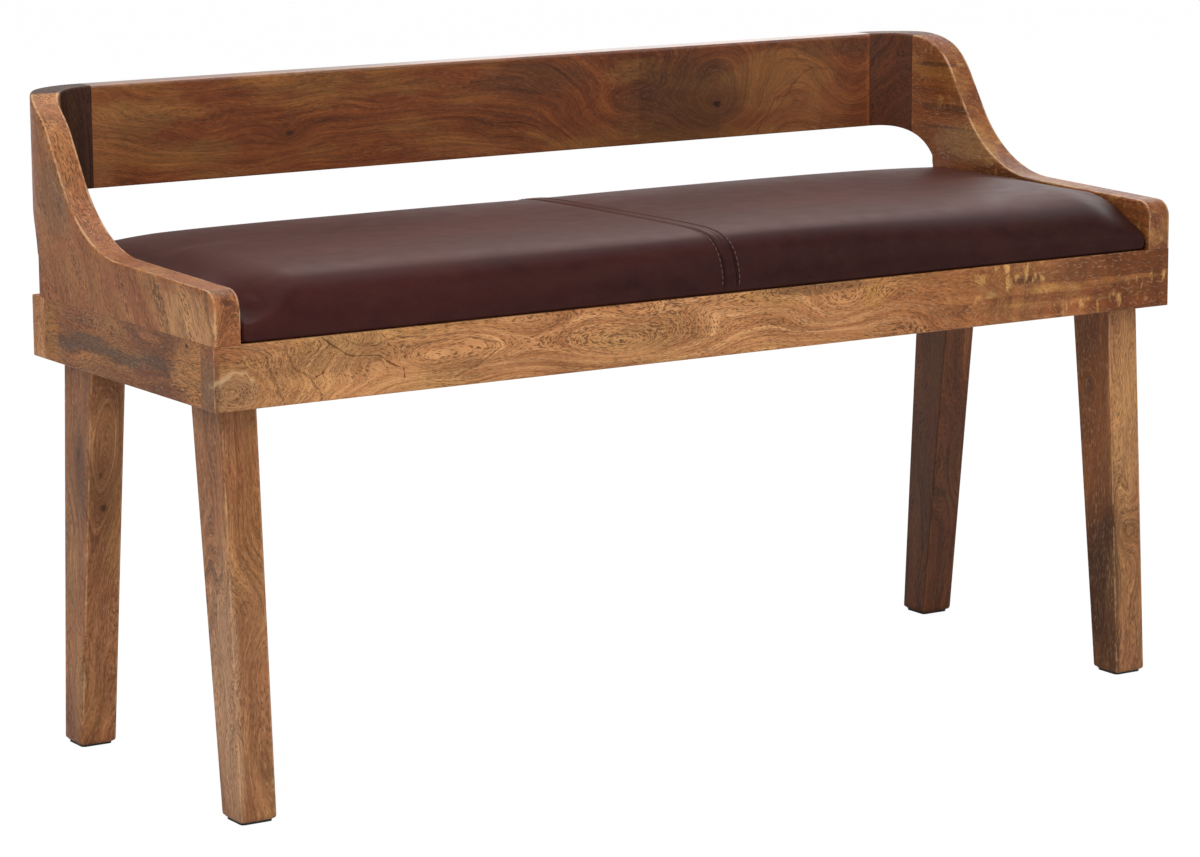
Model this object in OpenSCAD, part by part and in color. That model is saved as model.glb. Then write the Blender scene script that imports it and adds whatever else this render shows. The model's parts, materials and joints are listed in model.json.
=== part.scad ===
// Entry bench: a low wooden back that bends round into two swept arms, four splayed legs
// and a leather seat pad. Millimetres. Z is up, the front faces -Y, and the origin is on the
// floor, in the middle of the bench's length and of its whole depth.

/* [Overall] */
// Length of the bench, over the side rails
bench_w = 1050; // [900:5:1400]
// Depth of the frame of rails, front face to back face
apron_d = 363; // [330:1:430]
// Height of the rails' underside above the floor
leg_h = 368; // [300:1:420]
// Thickness of the boards: rails, arms and back
stock_t = 26; // [24:0.5:32]
// Diameter of the circles that ease small outside corners
ease_d = 5; // [2:0.5:8]

/* [Frame] */
// Height of the rails
apron_h = 57; // [52:1:80]
// Length of a leg block, along the bench
block_w = 50; // [48:1:70]
// Depth of a leg block, front to back
block_d = 70; // [66:1:90]
// Height of a leg block
block_h = 35; // [30:1:44]
// Width of a seat slat
slat_w = 45; // [30:1:80]
// Thickness of a seat slat
slat_t = 20; // [16:1:26]
// Distance of each seat slat from the middle of the bench
slat_x = 165; // [100:5:300]

/* [Arms and back] */
// Height of the back's top above the rails
back_h = 185; // [170:1:230]
// Height of the back board
board_h = 96; // [70:1:110]
// How far the back board stands out behind the frame
back_overhang = 53; // [46:1:75]
// Height of an arm's front end above the rails
arm_h = 47; // [36:1:54]
// Slope of an arm's low part, in degrees
arm_slope = 1.1; // [0:0.1:2]
// Radius of an arm's front top corner
nose_r = 16; // [6:1:24]
// Radius of the hollow sweep up to the back
sweep_r = 135; // [90:1:150]
// Radius of the round crest at the top of the sweep
crest_r = 84; // [50:1:100]
// Steepest angle of the sweep, in degrees
sweep_a = 57; // [50:1:62]
// Inside radius of the bend between arm and back
bend_r = 53; // [44:1:64]
// How far an arm's rear edge stands in front of the frame's back face
arm_setback = 14; // [6:1:20]
// Depth of the glued joint in each bend, behind the start of the bend
joint_d = 34; // [28:1:38]
// Radius of the opening's upper corners, under the back board
opening_r = 60; // [40:1:62]
// Direction of the opening's cut through each bend, in degrees from straight across
opening_turn = 15; // [0:1:20]

/* [Legs] */
// Width of a leg, along the bench
leg_w = 36; // [30:1:44]
// Depth of a leg at its top
leg_top_d = 55.5; // [50:0.5:70]
// Depth of a leg at the floor
leg_foot_d = 35; // [26:1:50]
// Inset of a leg from the end of the frame
leg_inset_x = 18; // [6:1:20]
// Inset of a leg's top from the front or back of the frame
leg_inset_y = 27; // [27:1:34]
// How far a leg's foot stands out beyond its top
leg_splay = 22; // [0:1:40]
// Radius of the soft edges of a foot
foot_r = 4; // [1:0.5:8]
// Thickness of a foot glide
glide_t = 2; // [1.5:0.5:5]
// Inset of a foot glide from the edges of the foot
glide_inset = 2.5; // [1:0.5:5]

/* [Seat] */
// Gap between the seat pad and each arm
seat_gap = 1.8; // [1.6:0.1:4]
// How far the pad's front and back stand behind the faces of the frame
seat_inset = 0.8; // [0:0.1:6]
// Thickness of the seat board
board_t = 12; // [9:1:18]
// Thickness of the leather
leather_t = 1.4; // [1:0.1:2]
// How far the leather's hem under the seat board reaches past a rail's inner face
hem_reach = 4; // [3.5:0.5:14]
// Height of the pad's top above the rails, in the middle of its length
pad_h = 52; // [46:1:70]
// How much lower the pad's top is at its ends
pad_drop = 3; // [0:0.5:6]
// How much the pad's top is crowned between front and back
pad_crown = 2.5; // [0:0.5:8]
// Depth of the front roll in the middle of the length
roll_d = 50; // [34:1:70]
// Depth of the front roll at the two ends
roll_end_d = 84; // [50:1:100]
// Height of the front roll
roll_h = 34; // [20:1:36]
// Radius of the pad's back edge
back_roll_r = 15; // [8:1:22]
// Radius of the pad's two end edges
end_r = 7; // [4:0.5:10]
// Depth of the channel at the middle seam
seam_depth = 1.8; // [0.5:0.1:3]
// Half the width of the channel at the middle seam
seam_half = 9; // [6:1:16]
// Thickness of the dust cover under the seat board
dust_t = 0.8; // [0.5:0.1:1.5]

/* [Hardware] */
// Shank diameter of the bolts that hold the legs
bolt_d = 8; // [6:1:10]
// Length of a leg bolt
bolt_l = 60; // [50:5:70]
// Thickness of the washer under a bolt's head
washer_t = 1.6; // [1:0.2:3]
// Outside diameter of a threaded insert in a leg
insert_d = 12; // [11:1:14]
// Length of a threaded insert
insert_l = 20; // [12:1:24]
// Diameter of the pin that holds a foot glide
pin_d = 4; // [3:0.5:6]
// Length of that pin in the leg
pin_l = 14; // [8:1:24]
// Diameter of the dowels in the rails and arms
dowel_d = 8; // [6:1:10]
// Length of those dowels
dowel_l = 36; // [30:2:40]
// Diameter of the dowels in the bends
bend_dowel_d = 6; // [5:1:8]
// Length of the dowels in the bends
bend_dowel_l = 24; // [18:2:26]
// Shank diameter of the wood screws
screw_d = 4.5; // [3.5:0.5:6]
// Diameter of a wood screw's head
screw_head_d = 9; // [8:0.5:12]
// Height of a wood screw's head
screw_head_t = 2.5; // [1.5:0.5:4]
// Distance of a leg block's screws from the edges of the block
block_screw_in = 11; // [9:0.5:14]
// Width of a staple's crown, under the hem of the leather
staple_w = 10; // [6:1:14]
// Distance from one staple to the next
staple_pitch = 35; // [25:1:60]
// Free space round a shank or a dowel in its hole
clear = 0.1; // [0.05:0.05:0.4]
// Free space between the seat pad and what it rests on
seat_clear = 0.3; // [0.2:0.1:1]

/* [Hidden] */
$fn = 48;
total_d = apron_d + back_overhang;
front_y = -total_d / 2;
frame_back_y = front_y + apron_d;
back_y = total_d / 2;
frame_mid_y = front_y + apron_d / 2;
end_x = bench_w / 2;
inner_x = end_x - stock_t;
rail_mid_x = end_x - stock_t / 2;
frame_z = leg_h;
seat_z = frame_z + apron_h;
top_z = seat_z + back_h;
board_z = top_z - board_h;
ease_r = ease_d / 2;

// Bend between arm and back, seen from above
bend_x = inner_x - bend_r;
bend_y = back_y - stock_t - bend_r;
bend_out_r = bend_r + stock_t;
joint_y = bend_y + joint_d;
board_mid_y = back_y - stock_t / 2;
arm_back_y = frame_back_y - arm_setback;
bend_dowel_x = bend_x + sqrt(pow((bend_r + bend_out_r) / 2, 2) - joint_d * joint_d);

// Start of the opening's rounded corner, across the direction of its cut, from the bend's axis
arm_reach = arm_back_y - bend_y;
opening_t = arm_reach * cos(opening_turn)
            - sqrt(bend_out_r * bend_out_r - arm_reach * arm_reach) * sin(opening_turn);

// Side outline of arm and back: low slope, hollow sweep, straight run and round crest
crest_end_y = back_y - stock_t;
crest_y = crest_end_y - crest_r * sin(sweep_a);
crest_z = top_z - crest_r * (1 - cos(sweep_a));
arm_z = seat_z + arm_h;
sweep_y = (tan(sweep_a) * (crest_y - sweep_r * (sin(sweep_a) - sin(arm_slope)))
           - crest_z + arm_z - tan(arm_slope) * front_y
           + sweep_r * (cos(arm_slope) - cos(sweep_a))) / (tan(sweep_a) - tan(arm_slope));
sweep_z = arm_z + tan(arm_slope) * (sweep_y - front_y);
sweep_cy = sweep_y - sweep_r * sin(arm_slope);
sweep_cz = sweep_z + sweep_r * cos(arm_slope);

// Legs
leg_x = end_x - leg_inset_x - leg_w / 2;
leg_top_z = frame_z;
leg_foot_z = glide_t;
bolt_x = (inner_x + end_x - leg_inset_x - leg_w) / 2;
bolt_pitch = leg_top_d / 2 - 4;
bolt_head_d = bolt_d * 1.85;
bolt_head_h = bolt_d * 0.6;
washer_d = bolt_d * 2;
block_top_z = frame_z + block_h;
foot_y = front_y + leg_inset_y - leg_splay + leg_foot_d / 2;

// Seat pad
pad_x = inner_x - seat_gap;
pad_front_y = front_y + seat_inset;
pad_back_y = frame_back_y - seat_inset;
pad_z = seat_z + seat_clear;
board_under_z = pad_z + leather_t;
board_top_z = board_under_z + board_t;
slat_top_z = pad_z - seat_clear;
slat_len = apron_d - 2 * stock_t;
seat_screw_l = slat_t + board_under_z - slat_top_z + board_t * 0.7;
hem_w = stock_t + hem_reach;
staple_wire = staple_w / 10;
staple_in = hem_w - 0.6 - staple_wire / 2;

// Seat pad mesh: how many steps round the front roll, the top and the back roll
roll_steps = 7;
top_steps = 5;
back_steps = 4;
end_steps = 4;
long_steps = 8;

// Helpers

// Repeat the children at both ends of the bench, mirrored
module both_ends() {
    children();
    mirror([1, 0, 0]) children();
}

// Repeat the children at the front and the back of the frame, mirrored
module both_depths() {
    children();
    translate([0, 2 * frame_mid_y, 0]) mirror([0, 1, 0]) children();
}

// Rectangle from corner to corner, with its four corners rounded by true circles
module round_rect(lo, hi, r) {
    w = hi[0] - lo[0];
    h = hi[1] - lo[1];
    translate(lo) {
        translate([r, 0]) square([w - 2 * r, h]);
        translate([0, r]) square([w, h - 2 * r]);
        for (x = [r, w - r], y = [r, h - r]) translate([x, y]) circle(r = r);
    }
}

// Points of an arc in a plane, from angle a0 to a1
function arc(c, r, a0, a1, steps) =
    [for (i = [0:steps]) let (a = a0 + (a1 - a0) * i / steps) [c[0] + r * cos(a), c[1] + r * sin(a)]];

// Straight prism of a (Y, Z) outline, from x0 to x1
module along_x(x0, x1) {
    translate([x0, 0, 0]) rotate([90, 0, 90]) linear_extrude(height = x1 - x0) children();
}

// Straight prism of an (X, Z) outline, from y0 to y1
module along_y(y0, y1) {
    translate([0, y1, 0]) rotate([90, 0, 0]) linear_extrude(height = y1 - y0) children();
}

// Box from corner to corner
module box(lo, hi) {
    translate(lo) cube([for (i = [0:2]) hi[i] - lo[i]]);
}

// Rod along an axis: 0 for X, 1 for Y, 2 for Z, from point p over length l
module rod(p, d, l, axis) {
    turn = axis == 0 ? [0, 90, 0] : axis == 1 ? [-90, 0, 0] : [0, 0, 0];
    translate(p) rotate(turn) cylinder(d = d, h = l);
}

// Places of repeated hardware, given for the right end or the right front corner
bolt_places = [for (s = [-1, 1]) [bolt_x, front_y + leg_inset_y + leg_top_d / 2 + s * bolt_pitch / 2]];
rail_dowel_places = [for (z = [0.24, 0.54]) frame_z + apron_h * z];
arm_dowel_places = [front_y + stock_t / 2, frame_mid_y - apron_d * 0.22, frame_mid_y + apron_d * 0.22];
arm_screw_places = [frame_mid_y - apron_d * 0.33, frame_mid_y, frame_mid_y + apron_d * 0.33];
bend_dowel_places = [for (i = [1:3]) board_z + board_h * i / 4];
seat_screw_places = [for (s = [-1, 1]) frame_mid_y + s * slat_len / 3];

// Depth of the counterbore under each arm screw, and the screw's length above it
arm_bore = apron_h * 0.4;
arm_screw_l = apron_h - arm_bore + arm_h * 0.7;
// Places of a leg block's two screws, how far they reach into the rails, and their counterbores
block_screw_z = frame_z + block_h * 0.5;
block_screw_y = front_y + stock_t + block_d - block_screw_in;
block_screw_x = inner_x - block_w + block_screw_in;
block_reach = stock_t * 0.65;
block_bore_x = block_w * 0.28;
block_bore_y = block_d * 0.6;

// Rails

// Long rail at depth y0..y1, with soft corners at its two ends
module long_rail(y0, y1, outer_y) {
    intersection() {
        along_y(y0, y1) round_rect([-end_x, frame_z], [end_x, seat_z + ease_r], ease_r);
        box([-end_x, y0, frame_z], [end_x, y1, seat_z]);
        translate([0, 0, frame_z]) linear_extrude(height = apron_h)
            round_rect([-end_x, min(y0, outer_y)], [end_x, max(y1, outer_y)], ease_r);
    }
}

module rail_dowel_holes() {
    both_depths() both_ends() for (z = rail_dowel_places)
        rod([rail_mid_x, front_y + stock_t - dowel_l / 2 - clear, z], dowel_d + 2 * clear,
            dowel_l + 2 * clear, 1);
}

module slat_dowel_holes() {
    both_depths() both_ends()
        rod([slat_x, front_y + stock_t - dowel_l / 2 - clear, slat_top_z - slat_t / 2],
            dowel_d + 2 * clear, dowel_l + 2 * clear, 1);
}

module block_screw_holes() {
    both_depths() both_ends() block_screw_pair(2 * clear);
}

// The two screws of the right front leg block, or the holes for them
module block_screw_pair(grow) {
    rod([inner_x - block_w + block_bore_x, block_screw_y, block_screw_z], screw_d + grow,
        block_w - block_bore_x + block_reach + grow / 2, 0);
    translate([0, 2 * (front_y + stock_t), 0]) mirror([0, 1, 0])
        rod([block_screw_x, front_y + stock_t - block_d + block_bore_y, block_screw_z],
            screw_d + grow, block_d - block_bore_y + block_reach + grow / 2, 1);
}

module front_rail() color("peru") difference() {
    long_rail(front_y, front_y + stock_t, front_y + 2 * stock_t);
    rail_dowel_holes();
    slat_dowel_holes();
    block_screw_holes();
    arm_dowel_holes();
}

module back_rail() color("peru") difference() {
    long_rail(frame_back_y - stock_t, frame_back_y, frame_back_y - 2 * stock_t);
    rail_dowel_holes();
    slat_dowel_holes();
    block_screw_holes();
}

module side_rail_right() color("sandybrown") difference() {
    box([inner_x, front_y + stock_t, frame_z], [end_x, frame_back_y - stock_t, seat_z]);
    rail_dowel_holes();
    block_screw_holes();
    arm_dowel_holes();
    arm_screw_holes();
}

module side_rail_left() mirror([1, 0, 0]) side_rail_right();

// Arms, bends and back

// Side outline of the arms and the back
module side_outline() {
    polygon(concat(
        [[front_y, seat_z]],
        arc([front_y + nose_r, arm_z - nose_r], nose_r, 180, 90 + arm_slope, 8),
        arc([sweep_cy, sweep_cz], sweep_r, 270 + arm_slope, 270 + sweep_a, 20),
        arc([crest_end_y, top_z - crest_r], crest_r, 90 + sweep_a, 90, 16),
        [[back_y + 1, top_z], [back_y + 1, seat_z]]
    ));
}

// Right end of the opening below the back board: it starts at the arm's rear edge, and its
// rounded upper corner is cut across the bend
module opening_cut() intersection() {
    box([bend_x - 1, arm_back_y, seat_z - 1], [end_x + 1, back_y + 1, board_z]);
    translate([bend_x, bend_y, 0]) rotate([0, 0, opening_turn])
        along_x(-bend_r, bend_out_r + bend_r) polygon(concat(
            [[opening_t + 2 * total_d, seat_z - 1], [opening_t + 2 * total_d, board_z]],
            arc([opening_t + opening_r, board_z - opening_r], opening_r, 90, 180, 12),
            [[opening_t, seat_z - 1]]
        ));
}

// Plan of the right arm and bend: straight wall, then a quarter ring
module wall_plan(y0, y1) {
    if (y0 < bend_y) translate([inner_x, y0]) square([stock_t, min(bend_y, y1) - y0]);
    if (y1 > bend_y) intersection() {
        translate([bend_x, bend_y]) difference() {
            circle(r = bend_out_r);
            circle(r = bend_r);
        }
        translate([bend_x, max(bend_y, y0)]) square([bend_out_r + 1, y1 - max(bend_y, y0)]);
    }
}

module arm_dowel_holes() {
    both_ends() for (y = arm_dowel_places)
        rod([rail_mid_x, y, seat_z - dowel_l / 2 - clear], dowel_d + 2 * clear, dowel_l + 2 * clear, 2);
}

module arm_screw_holes() {
    both_ends() for (y = arm_screw_places) {
        rod([rail_mid_x, y, frame_z - 1], screw_head_d + 1, arm_bore + 1, 2);
        rod([rail_mid_x, y, frame_z], screw_d + 2 * clear, arm_bore + arm_screw_l + clear, 2);
    }
}

module bend_dowel_holes() {
    for (z = bend_dowel_places)
        rod([bend_dowel_x, joint_y - bend_dowel_l / 2 - clear, z], bend_dowel_d + 2 * clear,
            bend_dowel_l + 2 * clear, 1);
}

module board_dowel_holes() {
    both_ends() for (z = bend_dowel_places)
        rod([bend_x - dowel_l / 2 - clear, board_mid_y, z], dowel_d + 2 * clear,
            dowel_l + 2 * clear, 0);
}

module arm_right() color("burlywood") difference() {
    intersection() {
        translate([0, 0, seat_z]) linear_extrude(height = back_h) wall_plan(front_y, joint_y);
        along_x(bend_x, end_x) side_outline();
    }
    opening_cut();
    arm_dowel_holes();
    arm_screw_holes();
    bend_dowel_holes();
}

module arm_left() mirror([1, 0, 0]) arm_right();

module corner_block_right() color("saddlebrown") difference() {
    intersection() {
        translate([0, 0, seat_z]) linear_extrude(height = back_h) wall_plan(joint_y, back_y);
        along_x(bend_x, end_x) side_outline();
    }
    opening_cut();
    bend_dowel_holes();
    board_dowel_holes();
}

module corner_block_left() mirror([1, 0, 0]) corner_block_right();

module back_board() color("sienna") difference() {
    box([-bend_x, back_y - stock_t, board_z], [bend_x, back_y, top_z]);
    board_dowel_holes();
}

// Legs and what holds them

// Right front leg: its side is a tapered, leaning outline, and the foot has soft edges
module leg_shape() {
    y0 = front_y + leg_inset_y;
    y1 = y0 + leg_top_d;
    f0 = y0 - leg_splay;
    f1 = f0 + leg_foot_d;
    lean0 = (y0 - f0) / (leg_top_z - leg_foot_z);
    lean1 = (y1 - f1) / (leg_top_z - leg_foot_z);
    intersection() {
        along_x(leg_x - leg_w / 2, leg_x + leg_w / 2) polygon(concat(
            arc([f0 + foot_r + lean0 * foot_r, leg_foot_z + foot_r], foot_r, 180, 270, 4),
            arc([f1 - foot_r + lean1 * foot_r, leg_foot_z + foot_r], foot_r, 270, 360, 4),
            [[y1, leg_top_z], [y0, leg_top_z]]
        ));
        along_y(f0 - leg_splay, y1 + 1) union() {
            round_rect([leg_x - leg_w / 2, leg_foot_z], [leg_x + leg_w / 2, leg_top_z - 1], foot_r);
            translate([leg_x - leg_w / 2, leg_foot_z + 2 * foot_r])
                square([leg_w, leg_top_z - leg_foot_z - 2 * foot_r]);
        }
    }
}

module leg_right_front() difference() {
    leg_shape();
    for (p = bolt_places) {
        rod([p[0], p[1], block_top_z - bolt_l - 2], bolt_d + 2 * clear, bolt_l, 2);
        rod([p[0], p[1], leg_top_z - insert_l], insert_d, insert_l + 1, 2);
    }
    glide_pin_hole();
}

module leg_front_right() color("chocolate") leg_right_front();
module leg_front_left() color("chocolate") mirror([1, 0, 0]) leg_right_front();
module leg_back_right() color("sienna") to_back() leg_right_front();
module leg_back_left() color("sienna") mirror([1, 0, 0]) to_back() leg_right_front();

// Mirror the children from the front of the frame to its back
module to_back() translate([0, 2 * frame_mid_y, 0]) mirror([0, 1, 0]) children();

module glide_pin_hole() rod([leg_x, foot_y, 0], pin_d + 2 * clear, glide_t + pin_l + clear, 2);

module glide() {
    lo = [leg_x - leg_w / 2 + glide_inset, foot_y - leg_foot_d / 2 + glide_inset];
    hi = [leg_x + leg_w / 2 - glide_inset, foot_y + leg_foot_d / 2 - glide_inset];
    linear_extrude(height = glide_t) round_rect(lo, hi, foot_r);
    rod([leg_x, foot_y, glide_t / 2], pin_d, glide_t / 2 + pin_l, 2);
}

module glide_front_right() color("black") glide();
module glide_front_left() color("black") mirror([1, 0, 0]) glide();
module glide_back_right() color("black") to_back() glide();
module glide_back_left() color("black") mirror([1, 0, 0]) to_back() glide();

// Block in the right front corner of the frame, which the leg is bolted to
module leg_block() difference() {
    box([inner_x - block_w, front_y + stock_t, frame_z], [inner_x, front_y + stock_t + block_d, block_top_z]);
    for (p = bolt_places) rod([p[0], p[1], frame_z - 1], bolt_d + 2 * clear, block_h + 2, 2);
    block_screw_pair(2 * clear);
    rod([inner_x - block_w - 1, block_screw_y, block_screw_z], screw_head_d + 1, block_bore_x + 1, 0);
    rod([block_screw_x, front_y + stock_t + block_d - block_bore_y, block_screw_z],
        screw_head_d + 1, block_bore_y + 1, 1);
}

module leg_block_front_right() color("tan") leg_block();
module leg_block_front_left() color("tan") mirror([1, 0, 0]) leg_block();
module leg_block_back_right() color("tan") to_back() leg_block();
module leg_block_back_left() color("tan") mirror([1, 0, 0]) to_back() leg_block();

// Seat

module seat_slat_right() color("tan") difference() {
    box([slat_x - slat_w / 2, front_y + stock_t, slat_top_z - slat_t],
        [slat_x + slat_w / 2, frame_back_y - stock_t, slat_top_z]);
    slat_dowel_holes();
    seat_screw_holes();
}

module seat_slat_left() mirror([1, 0, 0]) seat_slat_right();

module seat_screw_holes() {
    both_ends() for (y = seat_screw_places) {
        rod([slat_x, y, slat_top_z - slat_t - 1], screw_d + 2 * clear, seat_screw_l + 1 + clear, 2);
        translate([slat_x, y, slat_top_z - slat_t - clear])
            cylinder(d1 = screw_head_d + 2 * clear, d2 = screw_d, h = screw_head_d / 2);
    }
}

module seat_board() color("wheat") difference() {
    slack = leather_t + clear;
    translate([0, 0, board_under_z]) linear_extrude(height = board_t)
        round_rect([-pad_x + slack, pad_front_y + slack], [pad_x - slack, pad_back_y - slack], end_r);
    seat_screw_holes();
}

module dust_cover() color("dimgray") difference() {
    in = hem_w + 1;
    box([-pad_x + in, pad_front_y + in, board_under_z - dust_t], [pad_x - in, pad_back_y - in, board_under_z]);
    both_ends() for (y = seat_screw_places)
        rod([slat_x, y, board_under_z - dust_t - 1], screw_d + 1, dust_t + 2, 2);
}

// Inset of the pad's outline at distance d from its end, for an end edge of radius r
function end_inset(d, r) = d >= r ? 0 : r - sqrt(max(r * r - (r - d) * (r - d), 0));

// Depth of the seam channel at distance x from the middle
function channel(x) = x >= seam_half ? 0 : seam_depth * (1 + cos(180 * x / seam_half)) / 2;

// Half section of the pad's surface at distance x from the middle, as (Y, Z) points from the
// foot of the front to the foot of the back. The surface lies g inside the outside of the
// leather, and its front and back start at height z0.
function pad_section(x, g, z0) =
    let (u = pow(x / pad_x, 6),
         e = end_inset(pad_x - g - x, end_r - g) + g,
         c = channel(x),
         y0 = pad_front_y + e,
         y1 = pad_back_y - e,
         top = seat_z + pad_h - pad_drop * u - e - c,
         a = roll_d + (roll_end_d - roll_d) * u - e,
         b = roll_h - e - c,
         r = back_roll_r - e,
         span = y1 - r - y0 - a)
    concat(
        [[y0, z0]],
        [for (i = [0:roll_steps]) let (t = 90 * i / roll_steps)
            [y0 + a * (1 - cos(t)), top - b * (1 - sin(t))]],
        [for (i = [1:top_steps]) let (t = i / (top_steps + 1))
            [y0 + a + span * t, top + pad_crown * 4 * t * (1 - t)]],
        [for (i = [0:back_steps]) let (t = 90 * i / back_steps)
            [y1 - r * (1 - sin(t)), top - r * (1 - cos(t))]],
        [[y1, z0]]
    );

// Places of the sections along half of the pad, from the seam to the end, for inset g
function half_places(g) =
    let (end = pad_x - g, r = end_r - g, mid = pad_x - hem_w)
    concat(
        [for (i = [0:2]) seam_half * i / 3],
        [for (i = [0:long_steps]) seam_half + (mid - seam_half) * i / long_steps],
        [for (i = [0:end_steps]) end - r * (1 - sin(90 * i / end_steps))]
    );

hem_index = 3 + long_steps;

// Closed loop of one section: the half section with its bottom
function foam_loop(x) = [for (p = pad_section(abs(x), leather_t + clear, board_top_z)) [x, p[0], p[1]]];

// Open loop of the leather: hem, corner, half section, corner and hem
function leather_loop(x, g) =
    let (s = pad_section(x, g, pad_z + g), n = len(s),
         lip = g > 0 ? 0 : leather_t * 0.7)
    concat(
        [[x, pad_front_y + hem_w, pad_z + g]],
        [[x, s[0][0] + lip, pad_z + g], [x, s[0][0], pad_z + g + lip + 0.5]],
        [for (i = [1:n - 2]) [x, s[i][0], s[i][1]]],
        [[x, s[n - 1][0], pad_z + g + lip + 0.5], [x, s[n - 1][0] - lip, pad_z + g]],
        [[x, pad_back_y - hem_w, pad_z + g]]
    );

// Two triangles between four corners
function quad(a, b, c, d) = [[a, b, c], [a, c, d]];
function flip(faces) = [for (f = faces) [f[2], f[1], f[0]]];
function flat(lists) = [for (l = lists) for (f = l) f];
function middle(loop) = let (n = len(loop)) [for (k = [0:2]) [for (p = loop) p[k]] * [for (p = loop) 1 / n]];

// Skin of m loops of n points each, that starts at point index o, and is closed round if asked
function skin(m, n, o, closed) = flat([for (i = [0:m - 2], j = [0:n - (closed ? 1 : 2)])
    let (k = (j + 1) % n) quad(o + i * n + j, o + i * n + k, o + (i + 1) * n + k, o + (i + 1) * n + j)]);

// Fan between a loop of n points at index o and a middle point
function fan(n, o, centre) = [for (j = [0:n - 1]) [o + j, o + (j + 1) % n, centre]];

// Block of foam on the seat board, with the form of the pad
module seat_foam() color("khaki") {
    half = half_places(leather_t + clear);
    last = len(half) - 1;
    places = concat([for (i = [last:-1:1]) -half[i]], half);
    loops = [for (x = places) foam_loop(x)];
    m = len(loops);
    n = len(loops[0]);
    points = concat(flat(loops), [middle(loops[0]), middle(loops[m - 1])]);
    faces = concat(skin(m, n, 0, true), flip(fan(n, 0, m * n)), fan(n, (m - 1) * n, m * n + 1));
    polyhedron(points = points, faces = faces, convexity = 6);
}

// Right half of the leather, from the seam to the end, with its hem turned under the board
module leather_half() {
    outer = [for (x = half_places(0)) leather_loop(x, 0)];
    inner = [for (x = half_places(leather_t)) leather_loop(x, leather_t)];
    m = len(outer);
    n = len(outer[0]);
    o2 = m * n;
    c1 = 2 * m * n;
    points = concat(flat(outer), flat(inner), [middle(outer[m - 1]), middle(inner[m - 1])]);
    bottom = flat([for (i = [hem_index:m - 2])
        quad(i * n + n - 1, i * n, (i + 1) * n, (i + 1) * n + n - 1)]);
    under = [for (f = bottom) [for (v = f) v + o2]];
    hem_front = flat([for (i = [0:hem_index - 1])
        quad(i * n, o2 + i * n, o2 + (i + 1) * n, (i + 1) * n)]);
    hem_back = flat([for (i = [0:hem_index - 1])
        quad(i * n + n - 1, (i + 1) * n + n - 1, o2 + (i + 1) * n + n - 1, o2 + i * n + n - 1)]);
    h = hem_index * n;
    hem_end = quad(h, o2 + h, o2 + h + n - 1, h + n - 1);
    seam = flat([for (j = [0:n - 2]) quad(j, j + 1, o2 + j + 1, o2 + j)]);
    faces = concat(
        skin(m, n, 0, false), bottom, fan(n, (m - 1) * n, c1),
        flip(skin(m, n, o2, false)), flip(under), flip(fan(n, o2 + (m - 1) * n, c1 + 1)),
        flip(hem_front), flip(hem_back), flip(hem_end), flip(seam)
    );
    polyhedron(points = points, faces = faces, convexity = 8);
}

module seat_cover_right() color("maroon") leather_half();
module seat_cover_left() color("maroon") mirror([1, 0, 0]) leather_half();

// Hardware

module leg_bolts() color("silver") both_depths() both_ends() for (p = bolt_places) {
    rod([p[0], p[1], block_top_z + washer_t - bolt_l], bolt_d, bolt_l, 2);
    translate([p[0], p[1], block_top_z + washer_t]) cylinder(d = bolt_head_d, h = bolt_head_h, $fn = 6);
}

module leg_washers() color("gainsboro") both_depths() both_ends() for (p = bolt_places)
    translate([p[0], p[1], block_top_z]) difference() {
        cylinder(d = washer_d, h = washer_t);
        translate([0, 0, -1]) cylinder(d = bolt_d + 2 * clear, h = washer_t + 2);
    }

module leg_inserts() color("goldenrod") both_depths() both_ends() for (p = bolt_places)
    translate([p[0], p[1], leg_top_z - insert_l]) difference() {
        cylinder(d = insert_d, h = insert_l);
        translate([0, 0, -1]) cylinder(d = bolt_d + 2 * clear, h = insert_l + 2);
    }

module rail_dowels() color("beige") both_depths() both_ends() for (z = rail_dowel_places)
    rod([rail_mid_x, front_y + stock_t - dowel_l / 2, z], dowel_d, dowel_l, 1);

module slat_dowels() color("beige") both_depths() both_ends()
    rod([slat_x, front_y + stock_t - dowel_l / 2, slat_top_z - slat_t / 2], dowel_d, dowel_l, 1);

module arm_dowels() color("beige") both_ends() for (y = arm_dowel_places)
    rod([rail_mid_x, y, seat_z - dowel_l / 2], dowel_d, dowel_l, 2);

module bend_dowels() color("beige") both_ends() for (z = bend_dowel_places)
    rod([bend_dowel_x, joint_y - bend_dowel_l / 2, z], bend_dowel_d, bend_dowel_l, 1);

module board_dowels() color("beige") both_ends() for (z = bend_dowel_places)
    rod([bend_x - dowel_l / 2, board_mid_y, z], dowel_d, dowel_l, 0);

module arm_screws() color("silver") both_ends() for (y = arm_screw_places) {
    rod([rail_mid_x, y, frame_z + arm_bore], screw_d, arm_screw_l, 2);
    rod([rail_mid_x, y, frame_z + arm_bore - screw_head_t], screw_head_d, screw_head_t, 2);
}

module block_screws() color("silver") both_depths() both_ends() {
    block_screw_pair(0);
    rod([inner_x - block_w + block_bore_x - screw_head_t, block_screw_y, block_screw_z],
        screw_head_d, screw_head_t, 0);
    rod([block_screw_x, front_y + stock_t + block_d - block_bore_y, block_screw_z],
        screw_head_d, screw_head_t, 1);
}

module seat_screws() color("silver") both_ends() for (y = seat_screw_places) {
    rod([slat_x, y, slat_top_z - slat_t], screw_d, seat_screw_l, 2);
    translate([slat_x, y, slat_top_z - slat_t])
        cylinder(d1 = screw_head_d, d2 = screw_d, h = screw_head_d / 2 - clear);
}

// Crown of one staple, flat under the hem and along X
module staple() {
    box([-staple_w / 2, -staple_wire / 2, -staple_wire * 0.6], [staple_w / 2, staple_wire / 2, 0]);
}

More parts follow.
